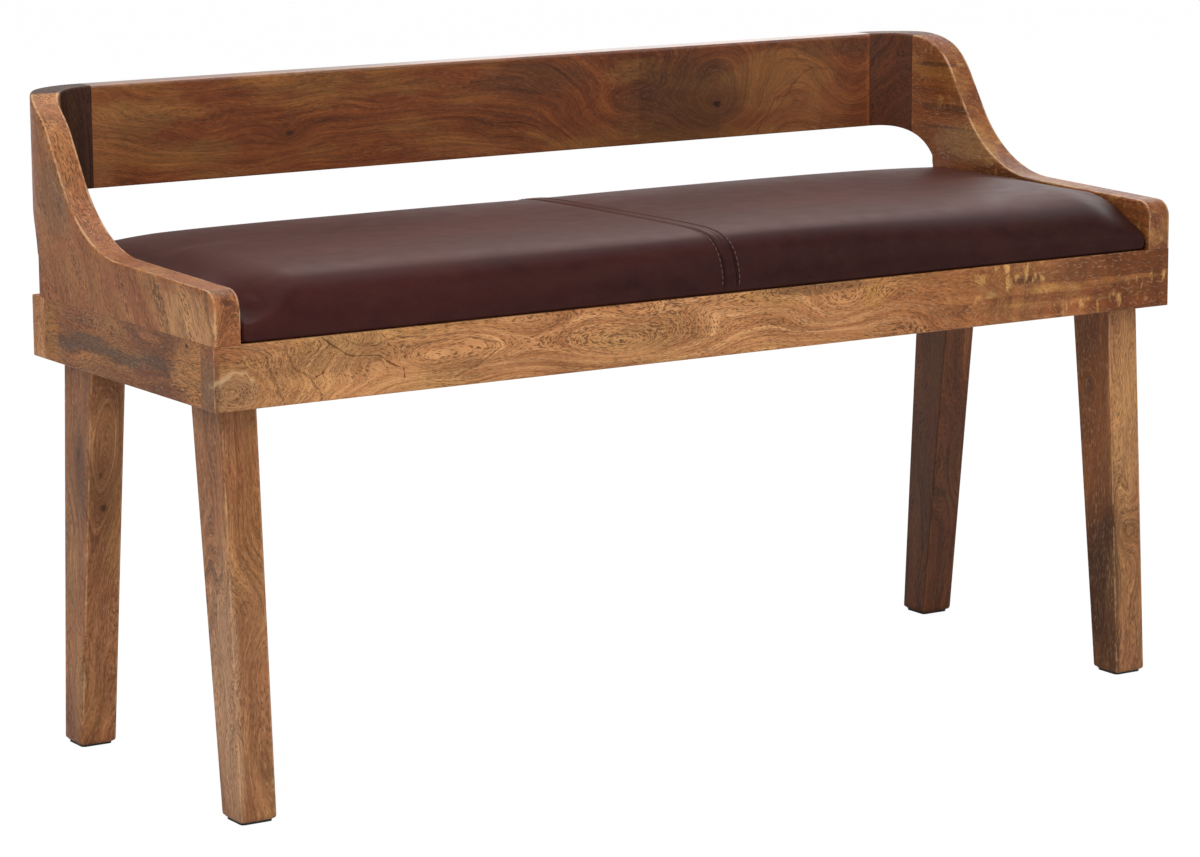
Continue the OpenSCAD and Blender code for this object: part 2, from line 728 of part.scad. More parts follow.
module staples() color("silver") {
    rows = floor((pad_x - hem_w) / staple_pitch);
    both_ends() for (i = [0:rows - 1], y = [pad_front_y + staple_in, pad_back_y - staple_in]) {
        x = (i + 0.5) * staple_pitch;
        if (abs(x - slat_x) > (slat_w + staple_w) / 2 + 1) translate([x, y, pad_z]) staple();
    }
}

front_rail();
back_rail();
side_rail_left();
side_rail_right();
arm_left();
arm_right();
corner_block_left();
corner_block_right();
back_board();
leg_front_left();
leg_front_right();
leg_back_left();
leg_back_right();
glide_front_left();
glide_front_right();
glide_back_left();
glide_back_right();
leg_block_front_left();
leg_block_front_right();
leg_block_back_left();
leg_block_back_right();
seat_slat_left();
seat_slat_right();
seat_board();
seat_foam();
seat_cover_left();
seat_cover_right();
dust_cover();
leg_bolts();
leg_washers();
leg_inserts();
rail_dowels();
arm_dowels();
arm_screws();
bend_dowels();
board_dowels();
slat_dowels();
block_screws();
seat_screws();
staples();
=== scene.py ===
"""Entry bench with a leather seat pad: the dressed model, its studio and its camera."""

import json
import logging
import math
from collections.abc import Callable, Sequence
from dataclasses import dataclass, field
from enum import Enum

import bpy
import numpy as np
from mathutils import Matrix, Vector

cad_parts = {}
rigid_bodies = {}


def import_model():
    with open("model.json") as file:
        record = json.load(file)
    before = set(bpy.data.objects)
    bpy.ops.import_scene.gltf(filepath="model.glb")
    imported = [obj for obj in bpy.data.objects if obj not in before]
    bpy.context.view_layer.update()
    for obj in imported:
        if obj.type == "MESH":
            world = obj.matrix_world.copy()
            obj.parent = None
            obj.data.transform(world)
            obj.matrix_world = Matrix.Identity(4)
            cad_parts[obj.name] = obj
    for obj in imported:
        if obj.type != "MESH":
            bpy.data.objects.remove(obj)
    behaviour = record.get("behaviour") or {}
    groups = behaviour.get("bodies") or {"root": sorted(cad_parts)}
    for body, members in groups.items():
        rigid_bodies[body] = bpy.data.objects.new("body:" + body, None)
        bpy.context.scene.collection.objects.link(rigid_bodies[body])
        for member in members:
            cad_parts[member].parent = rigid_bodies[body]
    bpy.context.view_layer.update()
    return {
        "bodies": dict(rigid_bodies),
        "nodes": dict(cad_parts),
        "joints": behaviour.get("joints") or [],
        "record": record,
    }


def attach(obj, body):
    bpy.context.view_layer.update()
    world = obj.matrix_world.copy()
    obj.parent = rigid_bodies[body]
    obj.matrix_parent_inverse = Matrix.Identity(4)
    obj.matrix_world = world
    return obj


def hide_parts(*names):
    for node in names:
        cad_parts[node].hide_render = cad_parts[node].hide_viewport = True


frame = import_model()

LOG = logging.getLogger("bench")
MM = 0.001
BODY = "root"

# Main sizes of the bench, in millimetres, as in the part's source
END_X = 525.0
STOCK = 26.0
FRONT_Y = -208.0
BACK_Y = 208.0
BOARD_Y = BACK_Y - STOCK
RAIL_Z = 368.0
ARM_Z = 425.0
TOP_Z = 610.0
BOARD_Z = 514.0
FRAME_BACK_Y = 155.0
INNER_X = END_X - STOCK
BEND_X = 446.0
BEND_Y = 129.0
BEND_R = 53.0
JOINT_Y = 163.0
ARM_BACK_Y = 141.0

# Distances from an edge at which a board has lines, so that its rounding is smooth
EDGE_LINES = np.array([0.0, 0.12, 0.4, 0.9, 1.5, 2.2, 4.0, 8.0, 14.0])
JOINT_LINES = np.array([0.0, 0.12, 0.4, 3.0])
NOSE_LINES = np.array([0.0, 0.12, 0.4, 0.9, 1.5, 2.2, 3.5, 5.0, 8.0, 12.0, 16.0, 22.0])
FOOT_LINES = np.array([0.0, 0.12, 0.4, 0.9, 1.5, 2.2, 3.1, 4.2, 5.5, 7.0, 10.0, 14.0])
SEAM_LINES = np.array([0.0, 1.2, 2.4, 3.8, 5.0, 5.9, 6.8, 7.7, 8.6, 10.0, 12.5])
RIM_LEVELS = (0.015, 0.05, 0.13, 0.3, 0.5, 0.7, 0.87, 0.95, 0.985)

# Corners of the seat pad's section under its front and under its back
PAD_FRONT = ((-177, 425.35), (-190, 425.35), (-203, 425.4))
PAD_BACK = ((147, 425.4), (124.2, 425.35))

# Farthest distance from an edge, in millimetres, at which its wear is worked out
WEAR_REACH = 20.0

Array = np.ndarray
Colour = tuple[float, float, float, float]
Point = tuple[float, float, float]
Place = tuple[float, float]
Pair = tuple[float, float]
Thing = bpy.types.Object
Material = bpy.types.Material
Node = bpy.types.Node
Socket = bpy.types.NodeSocket
Sockets = bpy.types.NodeOutputs


def tone(code: str) -> Colour:
    """Turns a colour as written on screen into the linear values that a shader takes.

    Args:
        code: Six hexadecimal digits, red, green, blue.

    Returns:
        Linear red, green, blue and a full alpha.
    """
    parts = [int(code[i : i + 2], 16) / 255 for i in (0, 2, 4)]
    linear = [c / 12.92 if c <= 0.04045 else ((c + 0.055) / 1.055) ** 2.4 for c in parts]
    return (linear[0], linear[1], linear[2], 1.0)


def metres(values: Sequence[float]) -> list[float]:
    """A place or a size in metres, from millimetres."""
    return [v * MM for v in values]


def climb(x: Array, start: float, run: float) -> Array:
    """Share that goes straight from 0 at the start to 1 after the run."""
    return np.clip((x - start) / run, 0.0, 1.0)


def sheet_points(along: Array, yz: Array) -> Array:
    """Points of a grid of sections, from their places along the pad and in their own plane."""
    return np.concatenate([np.broadcast_to(along, yz.shape[:2])[..., None], yz], -1)


def put(name: str, data: bpy.types.ID) -> Thing:
    """Makes an object of a mesh, a lamp or a camera and links it to the scene."""
    made = bpy.data.objects.new(name, data)
    bpy.context.scene.collection.objects.link(made)
    return made


# Meshes


def spread(start: float, stop: float, step: float) -> Array:
    """Even places strictly between two ends, about step apart."""
    count = max(int(round(abs(stop - start) / step)), 1)
    return np.linspace(start, stop, count + 1)[1:-1]


def lines_between(low: float, high: float, at_low: Array, at_high: Array, step: float) -> Array:
    """Places across a board: dense near both edges and even in between.

    Args:
        low: First edge.
        high: Last edge.
        at_low: Distances from the first edge.
        at_high: Distances from the last edge.
        step: Spacing of the lines in between.

    Returns:
        Rising places from low to high.
    """
    a, b = low + at_low, high - at_high[::-1]
    return np.concatenate([a, spread(a[-1], b[0], step), b])


def rounding(distance: Array, radius: float) -> Array:
    """How far a face falls back at a distance from its edge, for a quarter-round edge.

    The fall is radius less the square root of radius squared less (radius - distance) squared.
    """
    short = np.clip(radius - distance, 0.0, radius)
    return radius - np.sqrt(np.maximum(radius * radius - short * short, 0.0))


def distance_to(points: Array, line: Array) -> Array:
    """Shortest distance of each point of a plane to a line of straight stretches.

    Args:
        points: Points, shape (..., 2).
        line: Corners of the line, shape (k, 2).

    Returns:
        Distances, shape (...).
    """
    flat = points.reshape(-1, 1, 2)
    start, run = line[:-1], np.diff(line, axis=0)
    share = ((flat - start) * run).sum(-1) / np.maximum((run * run).sum(-1), 1e-12)
    near = start + np.clip(share, 0.0, 1.0)[..., None] * run
    return np.sqrt(((flat - near) ** 2).sum(-1)).min(1).reshape(points.shape[:-1])


def both_sides(half: Array) -> Array:
    """Places on both sides of the middle, from those of the one side, which start at 0."""
    return np.concatenate([-half[:0:-1], half])


def lengths_along(line: Array) -> Array:
    """Length run at each point of a line."""
    steps = np.linalg.norm(np.diff(line, axis=0), axis=1)
    return np.concatenate([[0.0], np.cumsum(steps)])


def ease(x: Array, start: float, stop: float) -> Array:
    """Share that goes smoothly from 0 at the start to 1 at the stop."""
    t = np.clip((x - start) / (stop - start), 0.0, 1.0)
    return t * t * (3 - 2 * t)


def round_corner(a: Array, b: Array, at: Place, signs: tuple[int, int],
                 radius: float) -> tuple[Array, Array]:
    """Rounds one square corner of a grid in its own plane.

    A point within the corner's square of side radius keeps its direction from the round's centre,
    and its longest side from there becomes its length.

    Args:
        a: First coordinates of the grid.
        b: Second coordinates of the grid.
        at: The corner.
        signs: Direction from the corner into the board, for a and b.
        radius: Radius of the round.

    Returns:
        The two grids with the corner rounded.
    """
    ca, cb = at[0] + signs[0] * radius, at[1] + signs[1] * radius
    da, db = (ca - a) * signs[0], (cb - b) * signs[1]
    inside = (da > 0) & (db > 0)
    share = np.where(inside, np.maximum(da, db) / np.maximum(np.hypot(da, db), 1e-9), 1.0)
    return (np.where(inside, ca - signs[0] * da * share, a),
            np.where(inside, cb - signs[1] * db * share, b))


def numbered(rows: int, cols: int) -> Array:
    """Numbers of a grid's points, row by row."""
    return np.arange(rows * cols).reshape(rows, cols)


def grid_quads(rows: int, cols: int, keep: Array | None = None) -> Array:
    """Quads between neighbouring points of a numbered grid."""
    index = numbered(rows, cols)
    quads = np.stack([index[:-1, :-1], index[1:, :-1], index[1:, 1:], index[:-1, 1:]], -1)
    return quads[keep] if keep is not None else quads.reshape(-1, 4)


def closing_strip(index: Array) -> Array:
    """Quads between the last and the first column of a grid of point numbers."""
    return np.stack([index[:-1, -1], index[1:, -1], index[1:, 0], index[:-1, 0]], -1)


def folded_ends(index: Array) -> list[Array]:
    """Quads that close the first and the last row of a grid, each folded onto itself."""
    half = index.shape[1] // 2
    caps = []
    for row, turned in ((index[0], False), (index[-1], True)):
        back = row[::-1]
        fold = np.stack([row[: half - 1], row[1:half], back[1:half], back[: half - 1]], -1)
        caps.append(fold[:, ::-1] if turned else fold)
    return caps


def open_edges(quads: Array) -> Array:
    """Edges that only one quad has, in that quad's own direction."""
    edges = np.stack([quads, np.roll(quads, -1, axis=1)], -1).reshape(-1, 2)
    size = int(quads.max()) + 1
    codes, reverse = edges[:, 0] * size + edges[:, 1], edges[:, 1] * size + edges[:, 0]
    return edges[~np.isin(codes, reverse)]


def volume(points: Array, quads: Array) -> float:
    """Signed volume inside a closed mesh of quads, from its tetrahedra to the origin."""
    a, b, c, d = (points[quads[:, k]] for k in range(4))
    return float((np.cross(b - a, c - a) * a).sum() + (np.cross(c - a, d - a) * a).sum()) / 6


def make_piece(name: str, points: Array, faces: Array, marks: dict[str, Array] | None = None,
               sharp: float = 50.0) -> Thing:
    """Makes a smooth-shaded object from points in millimetres, with its faces outwards.

    Args:
        name: Name of the piece.
        points: Points, shape (n, 3).
        faces: Quads, shape (m, 4).
        marks: Values per point, kept as attributes for the materials.
        sharp: Angle in degrees above which an edge stays sharp.

    Returns:
        The new object, at the origin.
    """
    used, faces = np.unique(faces, return_inverse=True)
    faces = faces.reshape(-1, 4)
    points = points[used]
    if volume(points, faces) < 0:
        faces = faces[:, ::-1]
    mesh = bpy.data.meshes.new(name)
    mesh.from_pydata((points * MM).tolist(), [], faces.tolist())
    for key, values in (marks or {}).items():
        layer = mesh.attributes.new(key, "FLOAT", "POINT")
        layer.data.foreach_set("value", np.ascontiguousarray(values[used], np.float32))
    mesh.polygons.foreach_set("use_smooth", np.ones(len(mesh.polygons), bool))
    mesh.set_sharp_from_angle(angle=math.radians(sharp))
    mesh.validate()
    mesh.update()
    return put(name, mesh)


@dataclass(frozen=True)
class Border:
    """One stretch of a board's outline, with the rounding of its two long edges."""

    line: Array
    low_r: float
    high_r: float
    worn: bool = True


@dataclass
class Slab:
    """Board between two faces: grids of points whose outline edges are rounded, and a rim."""

    flat: Array
    place: Callable[[Array], Array]
    thickness: float
    borders: Sequence[Border]
    corners: Sequence[Place] = ()
    keep: Array | None = None

    def build(self, name: str, mirrored: bool = False) -> Thing:
        """Works out both faces and the rim, and makes the piece.

        A point of a face falls back by the rounding of the nearest edges. The rim is carried
        straight across from the one face to the other.

        Args:
            name: Name of the piece.
            mirrored: Whether the piece is the one at the other end of the bench.

        Returns:
            The new object.
        """
        rows, cols = self.flat.shape[:2]
        gaps = [distance_to(self.flat, b.line) for b in self.borders]
        pairs = list(zip(gaps, self.borders))
        low = np.max([rounding(g, b.low_r) for g, b in pairs], 0)
        high = self.thickness - np.max([rounding(g, b.high_r) for g, b in pairs], 0)
        worn = [g for g, b in pairs if b.worn]
        corner = np.full((rows, cols), WEAR_REACH)
        edge = np.min(worn, 0) if worn else corner
        for point in self.corners:
            corner = np.minimum(corner, np.hypot(*(self.flat - np.array(point)).T).T)
        quads = grid_quads(rows, cols, self.keep)
        levels = [low, *[low + (high - low) * w for w in RIM_LEVELS], high]
        size = rows * cols
        points = np.concatenate([self.place(t).reshape(-1, 3) for t in levels])
        marks = [edge, *[np.minimum(np.minimum(t - low, high - t), corner)
                         for t in levels[1:-1]], edge]
        ring = open_edges(quads)
        rims = [np.stack([ring[:, 1] + k * size, ring[:, 0] + k * size,
                          ring[:, 0] + (k + 1) * size, ring[:, 1] + (k + 1) * size], -1)
                for k in range(len(levels) - 1)]
        faces = np.concatenate([quads, quads[:, ::-1] + (len(levels) - 1) * size, *rims])
        if mirrored:
            points = points * np.array([-1.0, 1.0, 1.0])
        values = np.clip(np.concatenate([m.reshape(-1) for m in marks]), 0.0, WEAR_REACH)
        return make_piece(name, points, faces, {"edge": values})


def segment(*corners: Place) -> Array:
    """A line of straight stretches through the given corners."""
    return np.array(corners, float)


# Shader nodes

Value = Socket | float | str | Sequence[float] | None


class Net:
    """Short ways to add nodes to one node tree and to link them."""

    def __init__(self, tree: bpy.types.NodeTree) -> None:
        """Keeps the tree that the nodes go into."""
        self.tree = tree

    def feed(self, socket: Socket, value: Value) -> None:
        """Links a socket to an input, or sets its value, where a word is a colour's code."""
        if isinstance(value, Socket):
            self.tree.links.new(value, socket)
        elif value is not None:
            socket.default_value = tone(value) if isinstance(value, str) else value

    def wired(self, made: Node, **values: Value) -> Socket:
        """Feeds a node's inputs by name, spaces as underscores, and gives its first output."""
        for key, value in values.items():
            self.feed(made.inputs[key.replace("_", " ")], value)
        return made.outputs[0]

    def node(self, kind: str, **settings: object) -> Node:
        """Adds a node of a kind and sets its properties."""
        made = self.tree.nodes.new(kind)
        for key, value in settings.items():
            setattr(made, key, value)
        return made

    def math(self, operation: str, *values: Value, clamp: bool = False) -> Socket:
        """A sum, product or other plain operation on numbers."""
        made = self.node("ShaderNodeMath", operation=operation, use_clamp=clamp)
        for socket, value in zip(made.inputs, values):
            self.feed(socket, value)
        return made.outputs[0]

    def times(self, a: Value, b: Value) -> Socket:
        """Product of two numbers."""
        return self.math("MULTIPLY", a, b)

    def plus(self, a: Value, b: Value) -> Socket:
        """Sum of two numbers."""
        return self.math("ADD", a, b)

    def minus(self, a: Value, b: Value) -> Socket:
        """First number less the second."""
        return self.math("SUBTRACT", a, b)

    def rest(self, share: Value) -> Socket:
        """What a share leaves of 1."""
        return self.math("SUBTRACT", 1.0, share)

    def vector(self, operation: str, *values: Value, scale: Value = None) -> Socket:
        """An operation on vectors, which gives a number for a length or a dot product."""
        made = self.node("ShaderNodeVectorMath", operation=operation)
        for socket, value in zip(made.inputs, values):
            self.feed(socket, value)
        if scale is not None:
            self.feed(made.inputs["Scale"], scale)
        number = operation in ("LENGTH", "DOT_PRODUCT")
        return made.outputs["Value" if number else "Vector"]

    def stretch(self, vector: Value, scale: Sequence[float],
                shift: Sequence[float] = (0, 0, 0)) -> Socket:
        """A vector scaled and moved along each axis."""
        return self.wired(self.node("ShaderNodeMapping"), Vector=vector, Scale=scale,
                          Location=shift)

    def drift(self, vector: Value, scale: Sequence[float]) -> Socket:
        """Smooth noise as a vector with parts from -0.5 to 0.5, to move places with."""
        made = self.node("ShaderNodeTexNoise")
        self.wired(made, Vector=self.stretch(vector, scale), Detail=0.0)
        return self.vector("SUBTRACT", made.outputs["Color"], (0.5, 0.5, 0.5))

    def noise(self, vector: Value, scale: float = 1.0, detail: float = 2.0, rough: float = 0.5,
              twist: float = 0.0) -> Socket:
        """Smooth noise from 0 to 1 at each place."""
        return self.wired(self.node("ShaderNodeTexNoise"), Vector=vector, Scale=scale,
                          Detail=detail, Roughness=rough, Distortion=twist)

    def grain(self, vector: Value, level: Value, scale: Sequence[float], across: float,
              detail: float, rough: float = 0.5) -> Socket:
        """Noise stretched along the lines of equal level: dashes that follow the figure."""
        made = self.node("ShaderNodeTexNoise", noise_dimensions="4D")
        return self.wired(made, Vector=self.stretch(vector, scale), W=self.times(level, across),
                          Scale=1.0, Detail=detail, Roughness=rough)

    def bands(self, along: Value, scale: float, detail: float, rough: float) -> Socket:
        """Noise of one number only, so that it makes uneven bands."""
        made = self.node("ShaderNodeTexNoise", noise_dimensions="1D")
        return self.wired(made, W=along, Scale=scale, Detail=detail, Roughness=rough)

    def span(self, value: Value, low: Value, high: Value, to_low: float = 0.0,
             to_high: float = 1.0, smooth: bool = True) -> Socket:
        """Takes the range from low to high to another range, and stays within it."""
        made = self.node("ShaderNodeMapRange",
                         interpolation_type="SMOOTHSTEP" if smooth else "LINEAR")
        return self.wired(made, Value=value, From_Min=low, From_Max=high, To_Min=to_low,
                          To_Max=to_high)

    def mix(self, share: Value, a: Value, b: Value, mode: str = "MIX") -> Socket:
        """Mixes two colours."""
        made = self.node("ShaderNodeMix", data_type="RGBA", blend_type=mode)
        for slot, value in ((0, share), (6, a), (7, b)):
            self.feed(made.inputs[slot], value)
        return made.outputs[2]

    def lay(self, colour: Value, mask: Value, share: Value, tint: Value,
            mode: str = "MIX") -> Socket:
        """Lays a tint over a colour, as strongly as a mask times a share."""
        return self.mix(self.times(mask, share), colour, tint, mode)

    def fac(self, name: str) -> Socket:
        """A number that the piece keeps at each of its points."""
        return self.node("ShaderNodeAttribute", attribute_name=name).outputs["Fac"]

    def ramp(self, value: Value, stops: Sequence[tuple[float, Colour]]) -> Socket:
        """Colours along a number from 0 to 1."""
        made = self.node("ShaderNodeValToRGB")
        self.feed(made.inputs[0], value)
        while len(made.color_ramp.elements) < len(stops):
            made.color_ramp.elements.new(0.5)
        for element, (place, colour) in zip(made.color_ramp.elements, stops):
            element.position = place
            element.color = colour
        return made.outputs[0]

    def split(self, vector: Value) -> Sockets:
        """The three parts of a vector."""
        made = self.node("ShaderNodeSeparateXYZ")
        self.feed(made.inputs[0], vector)
        return made.outputs

    def join(self, x: Value, y: Value, z: Value) -> Socket:
        """A vector from its three parts."""
        made = self.node("ShaderNodeCombineXYZ")
        for socket, value in zip(made.inputs, (x, y, z)):
            self.feed(socket, value)
        return made.outputs[0]

    def use(self, effect: "Effect", **values: Value) -> Sockets:
        """Places a shared effect and feeds its inputs by name, with spaces as underscores."""
        made = self.node("ShaderNodeGroup", node_tree=effect.tree)
        self.wired(made, **values)
        return made.outputs


class Effect:
    """A shader node group with named inputs and outputs, built once and shared."""

    KINDS = {"v": "NodeSocketVector", "f": "NodeSocketFloat"}

    def __init__(self, name: str, inputs: dict[str, str], outputs: dict[str, str],
                 build: Callable[[Net, Sockets], dict[str, Value]]) -> None:
        """Builds the group.

        Args:
            name: Name of the group.
            inputs: Kind letter of each input: v vector, f number.
            outputs: Kind letter of each output.
            build: Adds the nodes, given the group's inputs, and gives each output's source.
        """
        self.tree = bpy.data.node_groups.new(name, "ShaderNodeTree")
        for side, sockets in (("INPUT", inputs), ("OUTPUT", outputs)):
            for key, kind in sockets.items():
                self.tree.interface.new_socket(name=key, in_out=side,
                                               socket_type=self.KINDS[kind])
        net = Net(self.tree)
        source = net.node("NodeGroupInput").outputs
        sink = net.node("NodeGroupOutput").inputs
        for key, value in build(net, source).items():
            net.feed(sink[key], value)


# In the effects, scales of noise are per metre, and net.span takes a noise from 0 to 1 between
# the two values at which a mask begins and is full


def _growth(net: Net, given: Sockets) -> dict[str, Value]:
    """Growth rings: noise along the distance from a wandering pith, pushed out by knots.

    The level is the distance as the rings see it: pores and streaks run along the lines where
    it is the same, so they follow the figure.
    """
    place = given["Vector"]
    q = place
    for scale, share in (((2.6, 8, 8), 1), ((9, 30, 30), 0.04)):
        reach = net.times(given["Wander"], share)
        off = net.vector("SCALE", net.drift(place, scale), scale=reach)
        q = net.vector("ADD", q, off)
    x, y, z = net.split(q)
    radius = net.math("MAXIMUM", net.vector("LENGTH", net.join(0, y, z)), 0.001)
    pushed = net.plus(radius, given["Bulge"])
    jitter = net.minus(net.noise(net.stretch(place, (28, 130, 130)), 1, 2, 0.55), 0.5)
    count = net.math("DIVIDE", net.plus(pushed, net.times(jitter, given["Ripple"])),
                     given["Spacing"])
    broad = net.bands(count, 0.62, 3, 0.6)
    thin = net.bands(count, 0.5, 0, 0.5)
    where = net.noise(net.stretch(place, (6, 16, 16)))
    away = net.math("ABSOLUTE", net.minus(thin, 0.5))
    line = net.times(net.rest(net.span(away, 0.003, 0.035)), net.span(where, 0.46, 0.62))
    return {"Bands": net.span(broad, 0.28, 0.72, smooth=False), "Lines": line, "Level": pushed}


def _fibres(net: Net, given: Sockets) -> dict[str, Value]:
    """Streaks along the flow, short dark pores, pale flecks and broad clouds of tone."""
    place, level = given["Vector"], given["Level"]
    streak = net.grain(place, level, (14, 14, 14), 380, 4, 0.66)
    cloud = net.grain(place, level, (6, 16, 16), 24, 3, 0.6)
    patch = net.noise(net.stretch(place, (14, 60, 60)))
    low = net.span(patch, 0.3, 0.7, 0.56, 0.46, smooth=False)
    fine = net.grain(place, level, (190, 430, 430), 1750, 1)
    deep = net.grain(place, level, (105, 310, 310), 1250, 1)
    fleck = net.grain(place, level, (170, 360, 360), 1200, 1)
    return {"Streaks": net.span(streak, 0.30, 0.70, smooth=False),
            "Pores": net.span(fine, low, net.plus(low, 0.12)),
            "Deep": net.span(deep, net.plus(low, 0.09), net.plus(low, 0.19)),
            "Clouds": net.span(cloud, 0.3, 0.7, smooth=False),
            "Flecks": net.span(fleck, 0.54, 0.68)}


def _knot(net: Net, given: Sockets) -> dict[str, Value]:
    """A knot: rings pushed out round it, a dark core and a soft halo."""
    off = net.vector("SUBTRACT", given["Vector"], given["Centre"])
    away = net.vector("LENGTH", net.vector("MULTIPLY", off, given["Squeeze"]))
    ragged = net.times(net.minus(net.noise(given["Vector"], 160), 0.5),
                       net.times(given["Reach"], 0.35))
    smooth = net.math("DIVIDE", away, given["Reach"])
    rough = net.math("DIVIDE", net.plus(away, ragged), given["Reach"])
    fall = net.math("EXPONENT", net.times(net.times(smooth, smooth), -1))
    return {"Bulge": net.times(fall, given["Lift"]),
            "Core": net.rest(net.span(rough, 0.10, 0.26)), "Halo": fall}


def _stain(net: Net, given: Sockets) -> dict[str, Value]:
    """A patch of another tone: a stretched ball with a ragged, soft border."""
    place, size = given["Vector"], given["Size"]
    off = net.vector("DIVIDE", net.vector("SUBTRACT", place, given["Centre"]), size)
    cloud = net.noise(net.vector("DIVIDE", place, size), 1.6, 4, 0.6, 0.6)
    away = net.plus(net.vector("LENGTH", off), net.times(net.minus(cloud, 0.5), given["Ragged"]))
    return {"Mask": net.rest(net.span(away, 0.55, 1.15))}


def _stave(net: Net, given: Sockets) -> dict[str, Value]:
    """A glued-in strip between two planes, with a hair line at each joint."""
    along, low, high = given["Along"], given["From"], given["To"]
    inside = net.times(net.math("GREATER_THAN", along, low), net.math("LESS_THAN", along, high))
    near = net.math("MINIMUM", *(net.math("ABSOLUTE", net.minus(along, v)) for v in (low, high)))
    return {"Mask": inside, "Line": net.rest(net.span(near, 0.0002, 0.0007))}


def _crack(net: Net, given: Sockets) -> dict[str, Value]:
    """A soft dark line between two points that wavers and changes in width."""
    sway = net.drift(given["Vector"], (16, 16, 16))
    place = net.vector("ADD", given["Vector"], net.vector("SCALE", sway, scale=given["Sway"]))
    run = net.vector("SUBTRACT", given["To"], given["From"])
    off = net.vector("SUBTRACT", place, given["From"])
    share = net.math("DIVIDE", net.vector("DOT_PRODUCT", off, run),
                     net.vector("DOT_PRODUCT", run, run), clamp=True)
    beside = net.vector("SUBTRACT", off, net.vector("SCALE", run, scale=share))
    away = net.vector("LENGTH", net.vector("MULTIPLY", beside, given["Weight"]))
    width = net.span(net.noise(given["Vector"], 110, 3, 0.6), 0.34, 0.66, 0.3, 1.5)
    return {"Mask": net.rest(net.span(away, 0, net.times(given["Width"], width)))}


def _cross(net: Net, given: Sockets) -> dict[str, Value]:
    """Figure across the grain with its shimmer painted in: broad bars of painted shade and short,
    soft, bright flecks of painted highlight.
    """
    place = given["Vector"]
    bars = net.noise(net.stretch(place, (52, 12, 12)), 1, 3, 0.55, 0.3)
    flecks = net.noise(net.stretch(place, (105, 44, 44)), 1, 3, 0.6, 0.3)
    where = net.noise(net.stretch(place, (12, 46, 46)), 1, 1)
    bright = net.times(net.span(flecks, 0.52, 0.68), net.span(where, 0.47, 0.60))
    return {"Bars": net.span(bars, 0.3, 0.7), "Flecks": bright}


def _worn(net: Net, given: Sockets) -> dict[str, Value]:
    """Edge wear: a thin pale line along an edge that comes and goes."""
    come = net.noise(given["Vector"], 34, 5, 0.72)
    thick = net.times(given["Width"], net.span(come, 0.36, 0.66, 0, 1.6, smooth=False))
    away = net.span(given["Edge"], net.times(thick, 0.35), net.plus(thick, 0.02))
    return {"Mask": net.times(net.rest(away), net.span(come, 0.40, 0.56))}


def _hide(net: Net, given: Sockets) -> dict[str, Value]:
    """Leather: fine pebbles, soft creases, and a slow mottling of tone."""
    place = given["Vector"]
    pebble = net.node("ShaderNodeTexVoronoi", feature="SMOOTH_F1")
    net.wired(pebble, Vector=place, Scale=620, Smoothness=0.6)
    crease = net.noise(place, 210, 4, 0.6, 0.8)
    slow = net.noise(net.stretch(place, (5, 9, 12)), 1, 4, 0.6, 0.3)
    fine = net.noise(net.stretch(place, (38, 46, 60)), 1, 4, 0.6)
    height = net.plus(net.times(pebble.outputs["Distance"], 0.55), net.times(crease, 0.6))
    return {"Height": height, "Mottle": net.span(slow, 0.25, 0.75, smooth=False),
            "Fine": net.span(fine, 0.3, 0.7, smooth=False)}


def _weave(net: Net, given: Sockets) -> dict[str, Value]:
    """Plain weave: two crossed waves of threads, one over the other by turns."""
    x, y, _ = net.split(net.vector("SCALE", given["Vector"], scale=given["Threads"]))
    high = net.times(net.math("SINE", x), net.math("SINE", y))
    slub = net.noise(given["Vector"], 240, 3)
    return {"Height": net.plus(high, slub),
            "Tone": net.span(net.plus(net.times(high, 0.3), slub), 0.2, 0.9)}


class Effects:
    """All the shared effects, built once."""

    def __init__(self) -> None:
        """Builds each group."""
        self.growth = self.group("growth_rings", "vVector fSpacing fWander fRipple fBulge",
                                 "fBands fLines fLevel", _growth)
        self.fibres = self.group("wood_fibres", "vVector fLevel",
                                 "fStreaks fPores fDeep fClouds fFlecks", _fibres)
        self.knot = self.group("wood_knot", "vVector vCentre vSqueeze fReach fLift",
                               "fBulge fCore fHalo", _knot)
        self.stain = self.group("wood_stain", "vVector vCentre vSize fRagged", "fMask", _stain)
        self.stave = self.group("glued_stave", "fAlong fFrom fTo", "fMask fLine", _stave)
        self.crack = self.group("wood_crack", "vVector vFrom vTo vWeight fWidth fSway", "fMask",
                                _crack)
        self.cross = self.group("cross_figure", "vVector", "fBars fFlecks", _cross)
        self.worn = self.group("worn_edge", "vVector fEdge fWidth", "fMask", _worn)
        self.hide = self.group("leather_grain", "vVector", "fHeight fMottle fFine", _hide)
        self.weave = self.group("plain_weave", "vVector fThreads", "fHeight fTone", _weave)

    @staticmethod
    def group(name: str, inputs: str, outputs: str,
              build: Callable[[Net, Sockets], dict[str, Value]]) -> Effect:
        """A shared effect, each of its sockets written as its kind letter and its name."""
        kinds = [{w[1:]: w[0] for w in words.split()} for words in (inputs, outputs)]
        return Effect(name, *kinds, build)


def cleared(owner: bpy.types.ID) -> Net:
    """The nodes of a material or a world, without the ones it comes with."""
    owner.use_nodes = True
    owner.node_tree.nodes.clear()
    return Net(owner.node_tree)


def new_material(name: str) -> tuple[Material, Net, Node, Socket]:
    """A material with an empty tree, its shader, and the object's coordinates.

    Args:
        name: Name of the material.

    Returns:
        The material, its nodes, the shader node and the coordinates.
    """
    material = bpy.data.materials.new(name)
    net = cleared(material)
    shader = net.node("ShaderNodeBsdfPrincipled")
    output = net.node("ShaderNodeOutputMaterial")
    net.feed(output.inputs["Surface"], shader.outputs[0])
    place = net.node("ShaderNodeTexCoord").outputs["Object"]
    return material, net, shader, place


